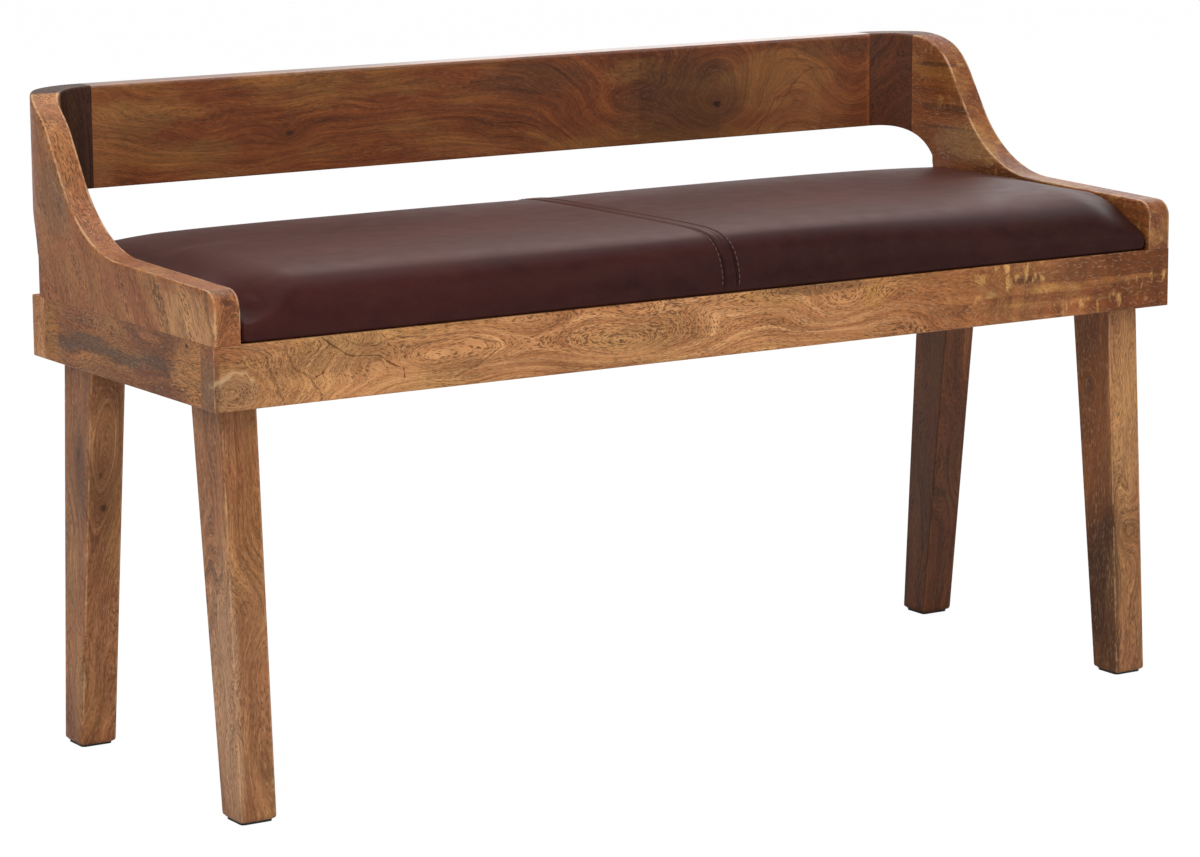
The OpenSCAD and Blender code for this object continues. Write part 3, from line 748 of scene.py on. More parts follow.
def raise_surface(net: Net, shader: Node, height: Value, distance: float,
                  strength: float = 1.0) -> None:
    """Feeds a height through a bump into the shader's normal."""
    bump = net.node("ShaderNodeBump")
    net.wired(shader, Normal=net.wired(bump, Height=height, Strength=strength,
                                       Distance=distance))


@dataclass(frozen=True)
class Knot:
    """A knot at a place of the bench, in millimetres."""

    at: Point
    reach: float = 9.0
    lift: float = 16.0
    squeeze: Point = (0.5, 0.2, 1.0)
    core: float = 0.85
    halo: float = 0.35
    dark: str = "2c1509"


@dataclass(frozen=True)
class StainAndLight:
    """A patch of another tone, in millimetres: mostly the wood's own marks, and on the front legs
    painted light and painted shade.
    """

    at: Point
    size: Point
    colour: str
    share: float = 0.7
    ragged: float = 0.9


@dataclass(frozen=True)
class Stave:
    """A strip glued into a board between two places along X, in millimetres."""

    low: float
    high: float
    colour: str
    share: float = 0.8


@dataclass(frozen=True)
class Crack:
    """A fine dark line through some places of the bench, in millimetres."""

    path: tuple[Point, ...]
    width: float = 0.9
    sway: float = 5.0
    share: float = 0.8
    weight: Point = (1.0, 0.15, 1.0)
    colour: str = "52290f"


class Face(Enum):
    """Which way a marked face of a board looks."""

    FRONT = "front"
    SIDE = "side"

    def point(self, plane: float, along: float, z: float) -> Point:
        """A place on the face, or a size, from its part across the face and the other two."""
        return (along, plane, z) if self is Face.FRONT else (plane, along, z)


def stains_on(face: Face, plane: float, deep: float, *rows: tuple) -> tuple[StainAndLight, ...]:
    """Stains on one face of a board.

    Args:
        face: Which way the face looks.
        plane: Place of the face.
        deep: Size of the patches into the board.
        rows: For each its place along and up, its size along and up, colour, share, raggedness.

    Returns:
        The patches, in the same order.
    """
    return tuple(StainAndLight(face.point(plane, along, z), face.point(deep, long, high), *look)
                 for along, z, long, high, *look in rows)


def knots_on(plane: float, *rows: tuple) -> tuple[Knot, ...]:
    """Knots on a board's front face.

    Args:
        plane: Place of the face.
        rows: For each its x and z, reach, lift, squeeze along and up, core, halo.

    Returns:
        The knots, in the same order.
    """
    return tuple(Knot((x, plane, z), reach, lift, (along, 0.2, up), *look)
                 for x, z, reach, lift, along, up, *look in rows)


def cracks_on(plane: float, *rows: tuple) -> tuple[Crack, ...]:
    """Cracks on a board's front face.

    Args:
        plane: Place of the face.
        rows: For each its path as x and z, its width, sway and share, and more of a Crack.

    Returns:
        The cracks, in the same order.
    """
    return tuple(Crack(tuple((x, plane, z) for x, z in path), *look) for path, *look in rows)


class Grain(Enum):
    """Direction of a piece's grain, as the turn of its pattern."""

    LENGTH = (0.0, 0.0, 0.0)
    DEPTH = (0.0, 0.0, math.pi / 2)
    UPRIGHT = (0.0, math.pi / 2, 0.0)


@dataclass(frozen=True)
class Wood:
    """A board's finish: its colours, its figure and its marks, some of them painted light and
    shade.
    """

    name: str
    stops: tuple[tuple[float, str], ...]
    grain: Grain = Grain.LENGTH
    pith: Point = (0.0, 0.0, 0.0)
    tilt: Point = (0.0, 0.0, 0.0)
    spacing: float = 7.0
    wander: float = 26.0
    ripple: float = 2.4
    bands: float = 0.4
    cloud: tuple[str, float] = ("8a4c24", 0.35)
    gold: tuple[str, float] = ("b58a4c", 0.22)
    # figure: strength of the figure across the grain, whose shimmer is painted as bars of shade
    # and flecks of highlight inside figure_at
    figure: float = 0.0
    figure_at: StainAndLight | None = None
    pore: str = "5b3519"
    pores: float = 0.72
    deep: float = 0.75
    flecks: float = 0.2
    streaks: float = 0.24
    lines: float = 0.5
    worn: str = "d9b184"
    worn_width: float = 0.6
    worn_share: float = 0.32
    rough: float = 0.42
    gloss: float = 0.22
    polish: float | None = None
    knots: tuple[Knot, ...] = ()
    stains: tuple[StainAndLight, ...] = ()
    staves: tuple[Stave, ...] = ()
    cracks: tuple[Crack, ...] = ()

    def patch(self, net: Net, fx: Effects, place: Value, stain: StainAndLight) -> Socket:
        """Mask of a patch of another tone."""
        return net.use(fx.stain, Vector=place, Centre=metres(stain.at), Size=metres(stain.size),
                       Ragged=stain.ragged)["Mask"]

    def marks(self, net: Net, fx: Effects, place: Value, colour: Value) -> Value:
        """Lays the stained patches, the patches of painted light and shade, and the glued strips
        over a colour.
        """
        for stain in self.stains:
            mask = self.patch(net, fx, place, stain)
            colour = net.lay(colour, mask, stain.share, stain.colour)
        for stave in self.staves:
            out = net.use(fx.stave, Along=net.split(place)[0], From=stave.low * MM,
                          To=stave.high * MM)
            colour = net.lay(colour, out["Mask"], stave.share, stave.colour, "MULTIPLY")
            colour = net.lay(colour, out["Line"], 0.12, self.pore)
        return colour

    def shimmer(self, net: Net, fx: Effects, local: Value, colour: Value, zone: Value) -> Value:
        """Lays the figure across the grain over a colour, its shimmer painted as darker bars and
        bright flecks, as strongly as the zone says.
        """
        out = net.use(fx.cross, Vector=local)
        # Painted shade in the figure's bars
        colour = net.lay(colour, net.times(out["Bars"], zone), 0.6, (0.40, 0.33, 0.26, 1.0),
                         "MULTIPLY")
        # Painted highlight in the figure's flecks
        return net.lay(colour, out["Flecks"], zone, "d09a58")

    def split_open(self, net: Net, fx: Effects, place: Value, colour: Value) -> Value:
        """Lays the cracks over a colour, each one the darkest of its stretches."""
        for crack in self.cracks:
            mask: Value = 0.0
            for start, stop in zip(crack.path[:-1], crack.path[1:]):
                mask = net.math("MAXIMUM", mask, net.use(
                    fx.crack, Vector=place, From=metres(start), To=metres(stop),
                    Weight=crack.weight, Width=crack.width * MM, Sway=crack.sway * MM)["Mask"])
            colour = net.lay(colour, mask, crack.share, crack.colour)
        return colour

    def ground(self, net: Net, place: Value, local: Value, level: Value) -> Value:
        """The board's colours by the level of its figure, with two slow drifts of tone."""
        colour: Value = net.ramp(level, [(p, tone(c)) for p, c in self.stops])
        drift = net.span(net.noise(place, 7.0), 0.42, 0.62)
        colour = net.lay(colour, drift, self.cloud[1], self.cloud[0])
        drift = net.span(net.noise(net.stretch(local, (8.0, 30.0, 30.0), (3.0, 1.0, 2.0))), 0.46,
                         0.64)
        return net.lay(colour, drift, self.gold[1], self.gold[0])

    def material(self, fx: Effects) -> Material:
        """Builds the finish from the shared effects.

        Args:
            fx: The shared effects.

        Returns:
            The material.
        """
        made, net, shader, place = new_material(self.name)
        turn = net.node("ShaderNodeMapping", vector_type="TEXTURE")
        angles = [g + math.radians(t) for g, t in zip(self.grain.value, self.tilt)]
        local = net.wired(turn, Vector=place, Location=metres(self.pith), Rotation=angles)
        bulge: Value = 0.0
        cores = []
        for knot in self.knots:
            out = net.use(fx.knot, Vector=place, Centre=metres(knot.at), Squeeze=knot.squeeze,
                          Reach=knot.reach * MM, Lift=knot.lift * MM)
            bulge = net.plus(bulge, out["Bulge"])
            cores.append((out["Core"], out["Halo"], knot))
        rings = net.use(fx.growth, Vector=local, Spacing=self.spacing * MM,
                        Wander=self.wander * MM, Ripple=self.ripple * MM, Bulge=bulge)
        fibre = net.use(fx.fibres, Vector=local, Level=rings["Level"])
        both = net.times(net.plus(fibre["Clouds"], fibre["Streaks"]), (1.0 - self.bands) / 2)
        level = net.plus(net.times(rings["Bands"], self.bands), both)
        colour = self.marks(net, fx, place, self.ground(net, place, local, level))
        zone: Value = self.figure
        if self.figure_at is not None:
            zone = net.times(self.patch(net, fx, place, self.figure_at), zone)
        # The figure's shimmer is painted light and shade
        if self.figure:
            colour = self.shimmer(net, fx, local, colour, zone)
        shade = net.span(fibre["Streaks"], 0.0, 1.0, 1.0 - self.streaks, 1.0 + self.streaks,
                         smooth=False)
        colour = net.vector("SCALE", colour, scale=shade)
        dark, pale = self.pore, self.worn
        colour = net.lay(colour, rings["Lines"], self.lines, dark)
        colour = net.lay(colour, fibre["Flecks"], self.flecks, pale)
        closed = net.rest(net.times(zone, 0.6))
        for mask, share in ((fibre["Pores"], self.pores), (fibre["Deep"], self.deep)):
            colour = net.lay(colour, mask, net.times(closed, share), dark)
        colour = self.split_open(net, fx, place, colour)
        for core, halo, knot in cores:
            colour = net.lay(colour, halo, knot.halo, "5a2f16")
            colour = net.lay(colour, core, knot.core, knot.dark)
        worn = net.use(fx.worn, Vector=place, Edge=net.fac("edge"), Width=self.worn_width)
        rough = net.span(net.plus(fibre["Streaks"], fibre["Pores"]), 0.0, 1.6,
                         self.rough - 0.05, self.rough + 0.16, smooth=False)
        net.wired(shader, Base_Color=net.lay(colour, worn["Mask"], self.worn_share, pale),
                  Roughness=rough, Specular_IOR_Level=self.gloss)
        if self.polish is not None:
            above = net.span(net.split(place)[2], self.polish * MM, (self.polish + 3.0) * MM)
            net.wired(shader, Coat_Weight=above, Coat_Roughness=0.3)
        height = net.minus(net.times(fibre["Streaks"], 0.25), fibre["Pores"])
        raise_surface(net, shader, height, 0.00018, 0.5)
        return made


@dataclass(frozen=True)
class Leather:
    """The seat pad's leather."""

    name: str = "oxblood_leather"
    # dark and red are the front's tones and top and warm the top's: their difference is painted
    # shade and painted light. deep darkens the grain and paints shade on the front's right and in
    # the seam's grooves.
    dark: str = "2c1514"
    red: str = "431d1b"
    top: str = "422924"
    warm: str = "532e27"
    deep: str = "180b0a"
    rough: Pair = (0.43, 0.49)
    gloss: float = 0.07

    def material(self, fx: Effects) -> Material:
        """Builds the leather from the shared grain, with painted light on its top and painted
        shade on its front, beside the left arm, towards the right and in the seam's grooves.
        """
        made, net, shader, place = new_material(self.name)
        out = net.use(fx.hide, Vector=place)
        # Painted shade: the front and sloping faces take the darker tones
        front = net.mix(out["Mottle"], self.dark, self.red)
        # Painted shade: the front grows darker towards the right, away from the key lamp
        front = net.mix(net.span(net.split(place)[0], -0.45, 0.2, 0.0, 0.5, smooth=False), front,
                        self.deep)
        # Painted light: faces that look up take the lighter top tones
        above = net.mix(out["Mottle"], self.top, self.warm)
        colour = net.mix(net.fac("crown"), front, above)
        colour = net.lay(colour, out["Fine"], 0.25, self.warm)
        colour = net.mix(net.span(out["Height"], 0.62, 0.86, 0.0, 0.25), colour, self.deep)
        # Painted shade in the seam's grooves
        colour = net.lay(colour, net.fac("seam"), 0.85, self.deep)
        rough = net.span(out["Fine"], 0.0, 1.0, *self.rough)
        net.wired(shader, Base_Color=colour, Roughness=rough, Specular_IOR_Level=self.gloss)
        raise_surface(net, shader, out["Height"], 0.00022, 0.3)
        return made


@dataclass(frozen=True)
class Thread:
    """Waxed sewing thread."""

    name: str = "waxed_thread"
    dark: str = "4a2e28"
    light: str = "6d4a40"

    def material(self, fx: Effects) -> Material:
        """Builds the thread with its twist."""
        made, net, shader, place = new_material(self.name)
        twist = net.node("ShaderNodeTexWave", bands_direction="DIAGONAL")
        net.wired(twist, Vector=place, Scale=420.0)
        turns = twist.outputs["Fac"]
        net.wired(shader, Base_Color=net.mix(turns, self.dark, self.light), Roughness=0.55)
        raise_surface(net, shader, turns, 0.0002, 0.6)
        return made


@dataclass(frozen=True)
class Speckled:
    """A plain stuff with a grain of its own: plastic, foam or metal."""

    name: str
    dark: str
    light: str
    scale: float = 600.0
    rough: Pair = (0.4, 0.6)
    metal: float = 0.0
    bump: float = 0.0001

    def material(self, fx: Effects) -> Material:
        """Builds the stuff from two scales of noise."""
        made, net, shader, place = new_material(self.name)
        coarse = net.noise(place, self.scale * 0.08, 4.0, 0.6)
        fine = net.noise(place, self.scale, 3.0, 0.6)
        both = net.plus(net.times(coarse, 0.5), net.times(fine, 0.5))
        net.wired(shader, Base_Color=net.mix(net.span(both, 0.35, 0.65), self.dark, self.light),
                  Roughness=net.span(both, 0.3, 0.7, *self.rough), Metallic=self.metal)
        raise_surface(net, shader, fine, self.bump, 0.5)
        return made


@dataclass(frozen=True)
class Cloth:
    """The thin black cloth below the seat."""

    name: str = "dust_cloth"
    dark: str = "161515"
    light: str = "2e2c2b"
    threads: float = 5200.0

    def material(self, fx: Effects) -> Material:
        """Builds the cloth from the shared weave."""
        made, net, shader, place = new_material(self.name)
        out = net.use(fx.weave, Vector=place, Threads=self.threads)
        net.wired(shader, Base_Color=net.mix(out["Tone"], self.dark, self.light), Roughness=0.9)
        raise_surface(net, shader, out["Height"], 0.0002, 0.5)
        return made


# The boards' finishes, some with painted light and shade

HONEY = ((0, "a06a3b"), (0.35, "bc7e4d"), (0.65, "cd925e"), (1, "e6ac76"))
GREYED = ((0, "633920"), (0.4, "764427"), (0.7, "88522e"), (1, "a06136"))
TAN = ((0, "7d4729"), (0.4, "935732"), (0.7, "a1633b"), (1, "b97749"))
BROWN = ((0, "5a290d"), (0.4, "773e1d"), (0.7, "874b23"), (1, "a56432"))
RUSSET = ((0, "714328"), (0.4, "8e5c3a"), (0.7, "9f6b46"), (1, "ba855d"))
# UMBER, the back right leg's colours, is darker as painted shade under the seat
UMBER = ((0, "532c19"), (0.4, "693b21"), (0.7, "784425"), (1, "8d532e"))
DARK = ((0, "32180c"), (0.45, "422211"), (0.8, "4e2a16"), (1, "5d341c"))
COCOA = ((0, "4f2716"), (0.45, "60341e"), (0.8, "6e3d25"), (1, "824d30"))


def leg_wood(place: str, pith_y: float, **marks: tuple) -> Wood:
    """The russet finish of a leg, with its own pith and marks, some of them painted light and
    shade.

    Args:
        place: Where the leg stands, as in its node's name.
        pith_y: Depth of the pith.
        marks: The leg's own knots, cracks and patches of tone, some patches painted light and
            shade.

    Returns:
        The finish.
    """
    pith_x = 430 if place.endswith("right") else -430
    return Wood(f"wood_leg_{place}", RUSSET, Grain.UPRIGHT, deep=0.3, pores=0.55, streaks=0.36,
                pith=(pith_x, pith_y, 200), spacing=6, **marks)


FRONT_RAIL = Wood(
    "wood_front_rail", HONEY, pith=(0, -150, 310), tilt=(0, 3, 0), spacing=5,
    wander=30, lines=0.6, bands=0.5, gold=("c79a58", 0.3),
    knots=knots_on(
        FRONT_Y,
        (-509, 374, 30, 34, 0.75, 1, 0, 0), (-512, 366, 100, 130, 0.75, 1, 0, 0),
        (-290, 395, 24, 56, 0.3, 1.1, 0, 0), (-105, 390, 30, 60, 0.3, 1.1, 0, 0),
        (120, 406, 26, 26, 0.45, 1.2, 0, 0), (400, 350, 60, 60, 0.3, 1, 0, 0)),
    stains=(StainAndLight((-525, -194, 396), (6, 40, 60), "63432f", 0.8, 0.5), *stains_on(
        Face.FRONT, FRONT_Y, 60,
        (425, 396, 290, 120, "934d1f", 0.62, 0.5), (450, 412, 110, 17, "6f3d20", 0.6, 0.8),
        (347, 409, 26, 6, "5a2f1c", 0.7, 0.8), (105, 421, 62, 6, "5e3a1e", 0.6, 0.9),
        (168, 408, 14, 14, "b98440", 0.5, 0.9), (-495, 400, 55, 60, "8a5a36", 0.35, 0.9),
        (-508, 384, 26, 16, "7d6048", 0.5, 0.9), (-516, 420, 22, 14, "a35f38", 0.5, 0.9),
        (-400, 408, 66, 20, "75552f", 0.4, 1.2), (335, 387, 20, 5, "c9924e", 0.6, 1.3),
        (372, 398, 24, 5, "c9924e", 0.6, 1.3), (402, 394, 16, 8, "c9924e", 0.5, 1.4),
        (450, 384, 46, 5, "c08445", 0.5, 1.3), (306, 397, 8, 4, "d0a060", 0.6, 1.2),
        (505, 396, 90, 80, "70380c", 0.9, 0.8), (385, 390, 110, 5, "7a3c18", 0.55, 1.6),
        (300, 414, 80, 5, "a86a34", 0.6, 1.5), (455, 400, 60, 4, "b0703a", 0.55, 1.6),
        (430, 376, 110, 5, "86421c", 0.5, 1.5), (270, 384, 60, 6, "84512c", 0.45, 1.5),
        (-75, 397, 60, 20, "85562f", 0.35, 1.2))),
    # The figure's shimmer in this zone is painted light and shade
    figure=1, figure_at=StainAndLight((425, FRONT_Y, 400), (200, 60, 70), "000000"),
    cracks=cracks_on(
        FRONT_Y,
        (((-523, 391), (-510, 400), (-496, 403), (-487, 394)), 3.6, 8, 0.4, (1, 0.15, 1),
         "e0bd8c"),
        (((-475, 412), (-471, 396), (-465, 383), (-459, 369)), 2.2, 4, 0.5),
        (((-457, 420), (-450, 402), (-433, 390), (-425, 378), (-422, 369)), 2.4, 4, 0.55),
        (((-421, 424), (-407, 414), (-390, 405), (-363, 402), (-341, 391), (-339, 381)), 1.2,
         4, 0.9),
        (((-401, 422), (-384, 413), (-368, 412), (-348, 418), (-318, 415)), 1.5, 4, 0.5),
        (((-340, 400), (-322, 409), (-275, 411), (-236, 402), (-262, 386), (-289, 377)), 1.5,
         4, 0.5),
        (((-68, 410), (-45, 398), (-25, 388), (-15, 377)), 0.7, 5, 0.4),
        (((-175, 408), (-138, 395), (-128, 386)), 0.8, 5, 0.4),
        (((-427, 390.5), (-419, 393)), 1.6, 2, 0.9)),
)
BACK_RAIL = Wood("wood_back_rail", HONEY, pith=(100, 60, 390), spacing=6.5)
SIDE_LEFT = Wood(
    "wood_side_rail_left", GREYED, Grain.DEPTH, pith=(-450, 0, 300), spacing=5,
    wander=22, cloud=("9a5c30", 0.4),
    knots=(Knot((-525, -157, 419), 10, 10, (0.2, 0.6, 1)),
           Knot((-525, 126, 387), 9, 9, (0.2, 0.6, 1), 0.8, 0.3, "6a2c14")),
    stains=stains_on(
        Face.SIDE, -END_X, 20,
        (-85, 417, 26, 5, "a5683a", 0.5, 0.9), (-108, 397, 52, 9, "4a3a2e", 0.72, 1.7),
        (-35, 391, 44, 8, "4a3a2e", 0.7, 1.7), (34, 395, 56, 9, "4a3a2e", 0.72, 1.7),
        (92, 389, 40, 7, "4a3a2e", 0.7, 1.7), (-165, 396, 44, 34, "bf8348", 0.75, 0.9),
        (122, 392, 26, 30, "a86c28", 0.75, 0.9), (152, 400, 14, 60, "563c2c", 0.6, 0.6)),
)
SIDE_RIGHT = Wood("wood_side_rail_right", HONEY, Grain.DEPTH, pith=(440, 10, 400),
                  spacing=6.5)
ARM_LEFT = Wood(
    "wood_arm_left", TAN, Grain.DEPTH, pith=(-455, 165, 415), tilt=(0, -58, 0),
    spacing=8, wander=34, gold=("b58448", 0.3), worn_share=0.45, worn_width=0.7, gloss=0.22,
    stains=(StainAndLight((-512, -208, 446), (40, 8, 40), "9a5a36", 0.45, 0.6),
            StainAndLight((-525, -160, 442), (8, 62, 30), "c4915f", 0.7, 1),
            StainAndLight((-511, -209, 462), (9, 12, 3), "4a2018", 0.75, 0.9),
            StainAndLight((-525, 100, 520), (6, 40, 40), "7f6142", 0.5, 0.9),
            StainAndLight((-525, -10, 455), (6, 20, 12), "9a5638", 0.5, 0.9)),
)
ARM_RIGHT = Wood(
    "wood_arm_right", BROWN, Grain.DEPTH, pith=(450, 60, 400), spacing=12, bands=0.75,
    # figure paints a faint shimmer across the grain as light and shade
    wander=24, figure=0.4, gold=("ad7638", 0.45), worn_share=0.45, worn_width=0.7, gloss=0.3,
    stains=(StainAndLight((499, 140, 579), (12, 50, 3), "3f2216", 0.7, 0.9),
            StainAndLight((499, 130, 535), (12, 60, 5), "4a2a1a", 0.6, 1.1),
            StainAndLight((499, 110, 514), (12, 60, 3), "4a2a1a", 0.6, 1.1),
            StainAndLight((499, 60, 502), (14, 80, 22), "a87a44", 0.6, 1),
            StainAndLight((499, 20, 466), (14, 90, 16), "5e3216", 0.8, 1)),
)
BLOCK_LEFT = Wood("wood_corner_left", DARK, Grain.UPRIGHT, pith=(-400, 150, 500),
                  spacing=6, worn="8b5c38", pore="1e100a", cloud=("4a2a1a", 0.3),
                  gold=("5c4028", 0.2), flecks=0.05)
BLOCK_RIGHT = Wood("wood_corner_right", COCOA, Grain.UPRIGHT, pith=(410, 150, 500),
                   deep=0.2, pores=0.4, tilt=(0, 35, 0), spacing=6,
                   worn="8b5c38", pore="1e100a", cloud=("5a321e", 0.4), gold=("5c4028", 0.2),
                   flecks=0.05)
BACK_BOARD = Wood(
    "wood_back_board", BROWN, pith=(0, 225, 470), tilt=(0, 3, 0), wander=20,
    pore="3a1c0e", pores=0.3, deep=0.3, flecks=0.12, lines=0.22, bands=0.34, polish=606,
    streaks=0.32, gold=("9c6c36", 0.45), cloud=("74381a", 0.4), worn="b98a60",
    knots=knots_on(
        BOARD_Y,
        (-239, 552, 12, 9, 0.6, 1, 0.7, 0.35), (254, 546, 60, 100, 0.95, 1.1, 0, 0),
        (254, 549, 20, 4, 0.8, 1.3, 0.95, 0.4), (135, 530, 60, 62, 0.85, 1, 0, 0),
        (425, 552, 52, 46, 1, 0.9, 0, 0), (-330, 560, 60, 22, 0.4, 1, 0, 0)),
    stains=stains_on(
        Face.FRONT, BOARD_Y, 60,
        (-405, 577, 56, 18, "8f6236", 0.5, 1.2), (-325, 541, 36, 13, "8a5d30", 0.5, 0.9),
        (30, 588, 66, 20, "513220", 0.5, 1.1), (-40, 524, 70, 9, "8a5630", 0.4, 1.1),
        (376, 540, 9, 40, "8a5e36", 0.4, 0.7), (405, 597, 60, 9, "50301e", 0.5, 0.9),
        (446, 560, 5, 80, "a05a2a", 0.5, 0.6), (215, 556, 85, 55, "4e3320", 0.62, 0.6),
        (365, 550, 60, 60, "9a6136", 0.35, 0.8), (-455, 550, 40, 60, "a0673a", 0.6, 0.8)),
    staves=(Stave(160, 257, "e0d0b8", 0.5),),
    cracks=cracks_on(
        BOARD_Y,
        (((372, 579), (352, 568), (344, 556), (326, 548), (311, 528), (303, 512)), 2, 6, 0.5),
        (((372, 579), (395, 577), (425, 562), (446, 547)), 2, 6, 0.35),
        (((372, 579), (357, 589), (334, 606)), 1.8, 6, 0.35),
        (((150, 591), (119, 572), (90, 551), (67, 537), (83, 522), (97, 513)), 1.8, 6, 0.38),
        (((67, 537), (38, 545), (0, 562)), 1.6, 6, 0.28),
        (((-414, 518.5), (-400, 521)), 1.2, 2, 0.7)),
)
# Front left leg: the pale patch low on its outer side is painted light, for the lower leg that
# stands out of the seat's shadow
LEG_FL = leg_wood(
    "front_left", -130,
    stains=(StainAndLight((-507, -200, 110), (8, 60, 150), "c49a78", 0.45, 0.6),
            StainAndLight((-480, -190, 300), (30, 12, 90), "8f5024", 0.4, 0.9)),
    knots=knots_on(-200, (-489, 180, 26, 18, 1, 0.6, 0, 0)),
    cracks=cracks_on(-195, (((-502, 186), (-493, 197), (-480, 195), (-470, 200)), 1, 5,
                              0.6)))
# Front right leg: the two dark patches on its inner side are painted shade, where the seat keeps
# off the light from the upper left; the two pale patches lighten its front
LEG_FR = leg_wood(
    "front_right", -130,
    knots=knots_on(-200, (491, 145, 16, 16, 1, 0.7, 0, 0.3)),
    stains=(StainAndLight((471, -170, 190), (4, 60, 260), "7a431a", 0.85, 0.5),
            StainAndLight((492, -190, 300), (30, 12, 150), "cf9a62", 0.5, 0.9),
            StainAndLight((471, -190, 90), (8, 60, 110), "381a0a", 0.9, 0.9),
            StainAndLight((492, -195, 90), (30, 16, 80), "bd8c58", 0.2, 0.9)))
LEG_BL = leg_wood(
    "back_left", 170,
    knots=(Knot((-489, 80, 300), 24, 30, (1.5, 0.2, 0.42), 0, 0),
           Knot((-507, 103, 279), 16, 9, (0.2, 1, 0.5), 0.5, 0.5),
           *knots_on(80, (-490, 231, 16, 10, 1, 0.7, 0.8, 0.5),
                     (-494, 262, 14, 9, 1, 0.7, 0.5, 0.5))),
    stains=(StainAndLight((-507, 100, 265), (8, 12, 50), "5c4638", 0.6, 1.3),),
    cracks=cracks_on(80, (((-503, 336), (-493, 349), (-489, 358), (-483, 348), (-481, 320)),
                            0.9, 4, 0.6)))
# Back right leg: its darker umber colours paint the shade under the seat into the wood
LEG_BR = Wood("wood_leg_back_right", UMBER, Grain.UPRIGHT, deep=0.3, pores=0.5,
              pith=(430, 190, 200), spacing=6, pore="2b180f", cloud=("4a2a1a", 0.3),
              gold=("6a4a2c", 0.2), flecks=0.1, worn="8a6040")
SOFTWOOD = Wood("wood_softwood", ((0, "b98a52"), (0.5, "d3ab74"), (1, "e2c08c")),
                pith=(0, 60, 330), spacing=4, pores=0.1, worn_share=0)
BEECH = Wood("wood_dowel", ((0, "b88c5e"), (1, "d6b084")), pith=(0, 0, 0), spacing=2,
             worn_share=0)
PLYWOOD = Wood("wood_plywood", ((0, "b58d5c"), (1, "d8b88a")), pith=(0, 0, -900),
               spacing=30, pores=0.2, worn_share=0)
FOAM = Speckled("seat_foam", "c7b65f", "e0d48a", 900, (0.9, 1), bump=0.0004)
ZINC = Speckled("zinc_steel", "8a8c8c", "b9bcbb", 300, (0.28, 0.45), 1)
BRASS = Speckled("brass", "9a7838", "bf9c55", 300, (0.3, 0.45), 1)
GLIDE = Speckled("black_glide", "0c0c0c", "1d1c1b", 900, (0.45, 0.65))


# Sub-assemblies


def dress(piece: Thing, material: Material, slot: str, *nodes: str) -> Thing:
    """Gives a piece its material and its body, and lets it stand for CAD nodes."""
    piece.data.materials.append(material)
    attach(piece, BODY)
    if nodes:
        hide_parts(*nodes)
    LOG.info("piece %s: %d faces", piece.name, len(piece.data.polygons))
    return piece


def box_slab(a: Array, b: Array, place: Callable[[Array, Array, Array], Array], thickness: float,
             radii: Sequence[tuple[float, float, bool]], corner_r: float) -> Slab:
    """A straight board as a slab.

    Args:
        a: Places along the board.
        b: Places across the board.
        place: Gives the points from the two grids and the depth below the low face.
        thickness: Thickness of the board.
        radii: Rounding of the low and the high edge and whether it is worn, for the sides
            at the least a, the greatest a, the least b and the greatest b.
        corner_r: Rounding of the four corners in the board's own plane.

    Returns:
        The slab.
    """
    grid_a, grid_b = (g.astype(float) for g in np.meshgrid(a, b, indexing="ij"))
    a0, a1, b0, b1 = a[0], a[-1], b[0], b[-1]
    flat = np.stack([grid_a, grid_b], -1)
    if corner_r:
        for at, signs in (((a0, b0), (1, 1)), ((a0, b1), (1, -1)), ((a1, b0), (-1, 1)),
                          ((a1, b1), (-1, -1))):
            grid_a, grid_b = round_corner(grid_a, grid_b, at, signs, corner_r)
    sides = (((a0, b0), (a0, b1)), ((a1, b0), (a1, b1)), ((a0, b0), (a1, b0)),
             ((a0, b1), (a1, b1)))
    borders = [Border(segment(*s), *r) for s, r in zip(sides, radii)]
    return Slab(flat, lambda t: place(grid_a, grid_b, t), thickness, borders,
                corners=((a0, b0), (a0, b1), (a1, b0), (a1, b1)))


@dataclass
class Apron:
    """The four rails of the frame."""

    soft: float = 1.7
    crisp: float = 0.9
    joint: float = 0.15
    corner_r: float = 1.2

    def long_rail(self, name: str, y0: float, outer_is_low: bool) -> Thing:
        """A full-length rail with eased outer edges and tight inner ones."""
        a = lines_between(-END_X, END_X, EDGE_LINES, EDGE_LINES, 25.0)
        b = lines_between(RAIL_Z, ARM_Z, EDGE_LINES, EDGE_LINES, 8.0)

        def edge(outer: float) -> tuple[float, float, bool]:
            """Rounding of an outer edge, with a tight one on the inner face."""
            pair = (outer, self.joint) if outer_is_low else (self.joint, outer)
            return (*pair, True)

        radii = [edge(self.soft)] * 3 + [edge(self.crisp)]
        return box_slab(a, b, lambda x, z, t: np.stack([x, y0 + t, z], -1), STOCK, radii,
                        self.corner_r).build(name)

    def side_rail(self, name: str, mirrored: bool) -> Thing:
        """A side rail between the long ones."""
        a = lines_between(FRONT_Y + STOCK, FRAME_BACK_Y - STOCK, JOINT_LINES, JOINT_LINES, 20.0)
        b = lines_between(RAIL_Z, ARM_Z, EDGE_LINES, JOINT_LINES, 8.0)
        hidden = (0.1, self.joint, False)
        radii = [hidden, hidden, (0.8, self.crisp, True), hidden]
        return box_slab(a, b, lambda y, z, t: np.stack([INNER_X + t, y, z], -1), STOCK, radii,
                        0.0).build(name, mirrored)

    def make(self, fx: Effects) -> None:
        """Builds and dresses the four rails."""
        rails = (("front_rail", self.long_rail("front_rail_wood", FRONT_Y, True), FRONT_RAIL),
                 ("back_rail", self.long_rail("back_rail_wood", FRAME_BACK_Y - STOCK, False),
                  BACK_RAIL),
                 ("side_rail_left", self.side_rail("side_rail_left_wood", True), SIDE_LEFT),
                 ("side_rail_right", self.side_rail("side_rail_right_wood", False), SIDE_RIGHT))
        for node, piece, wood in rails:
            dress(piece, wood.material(fx), "honey_wood", node)


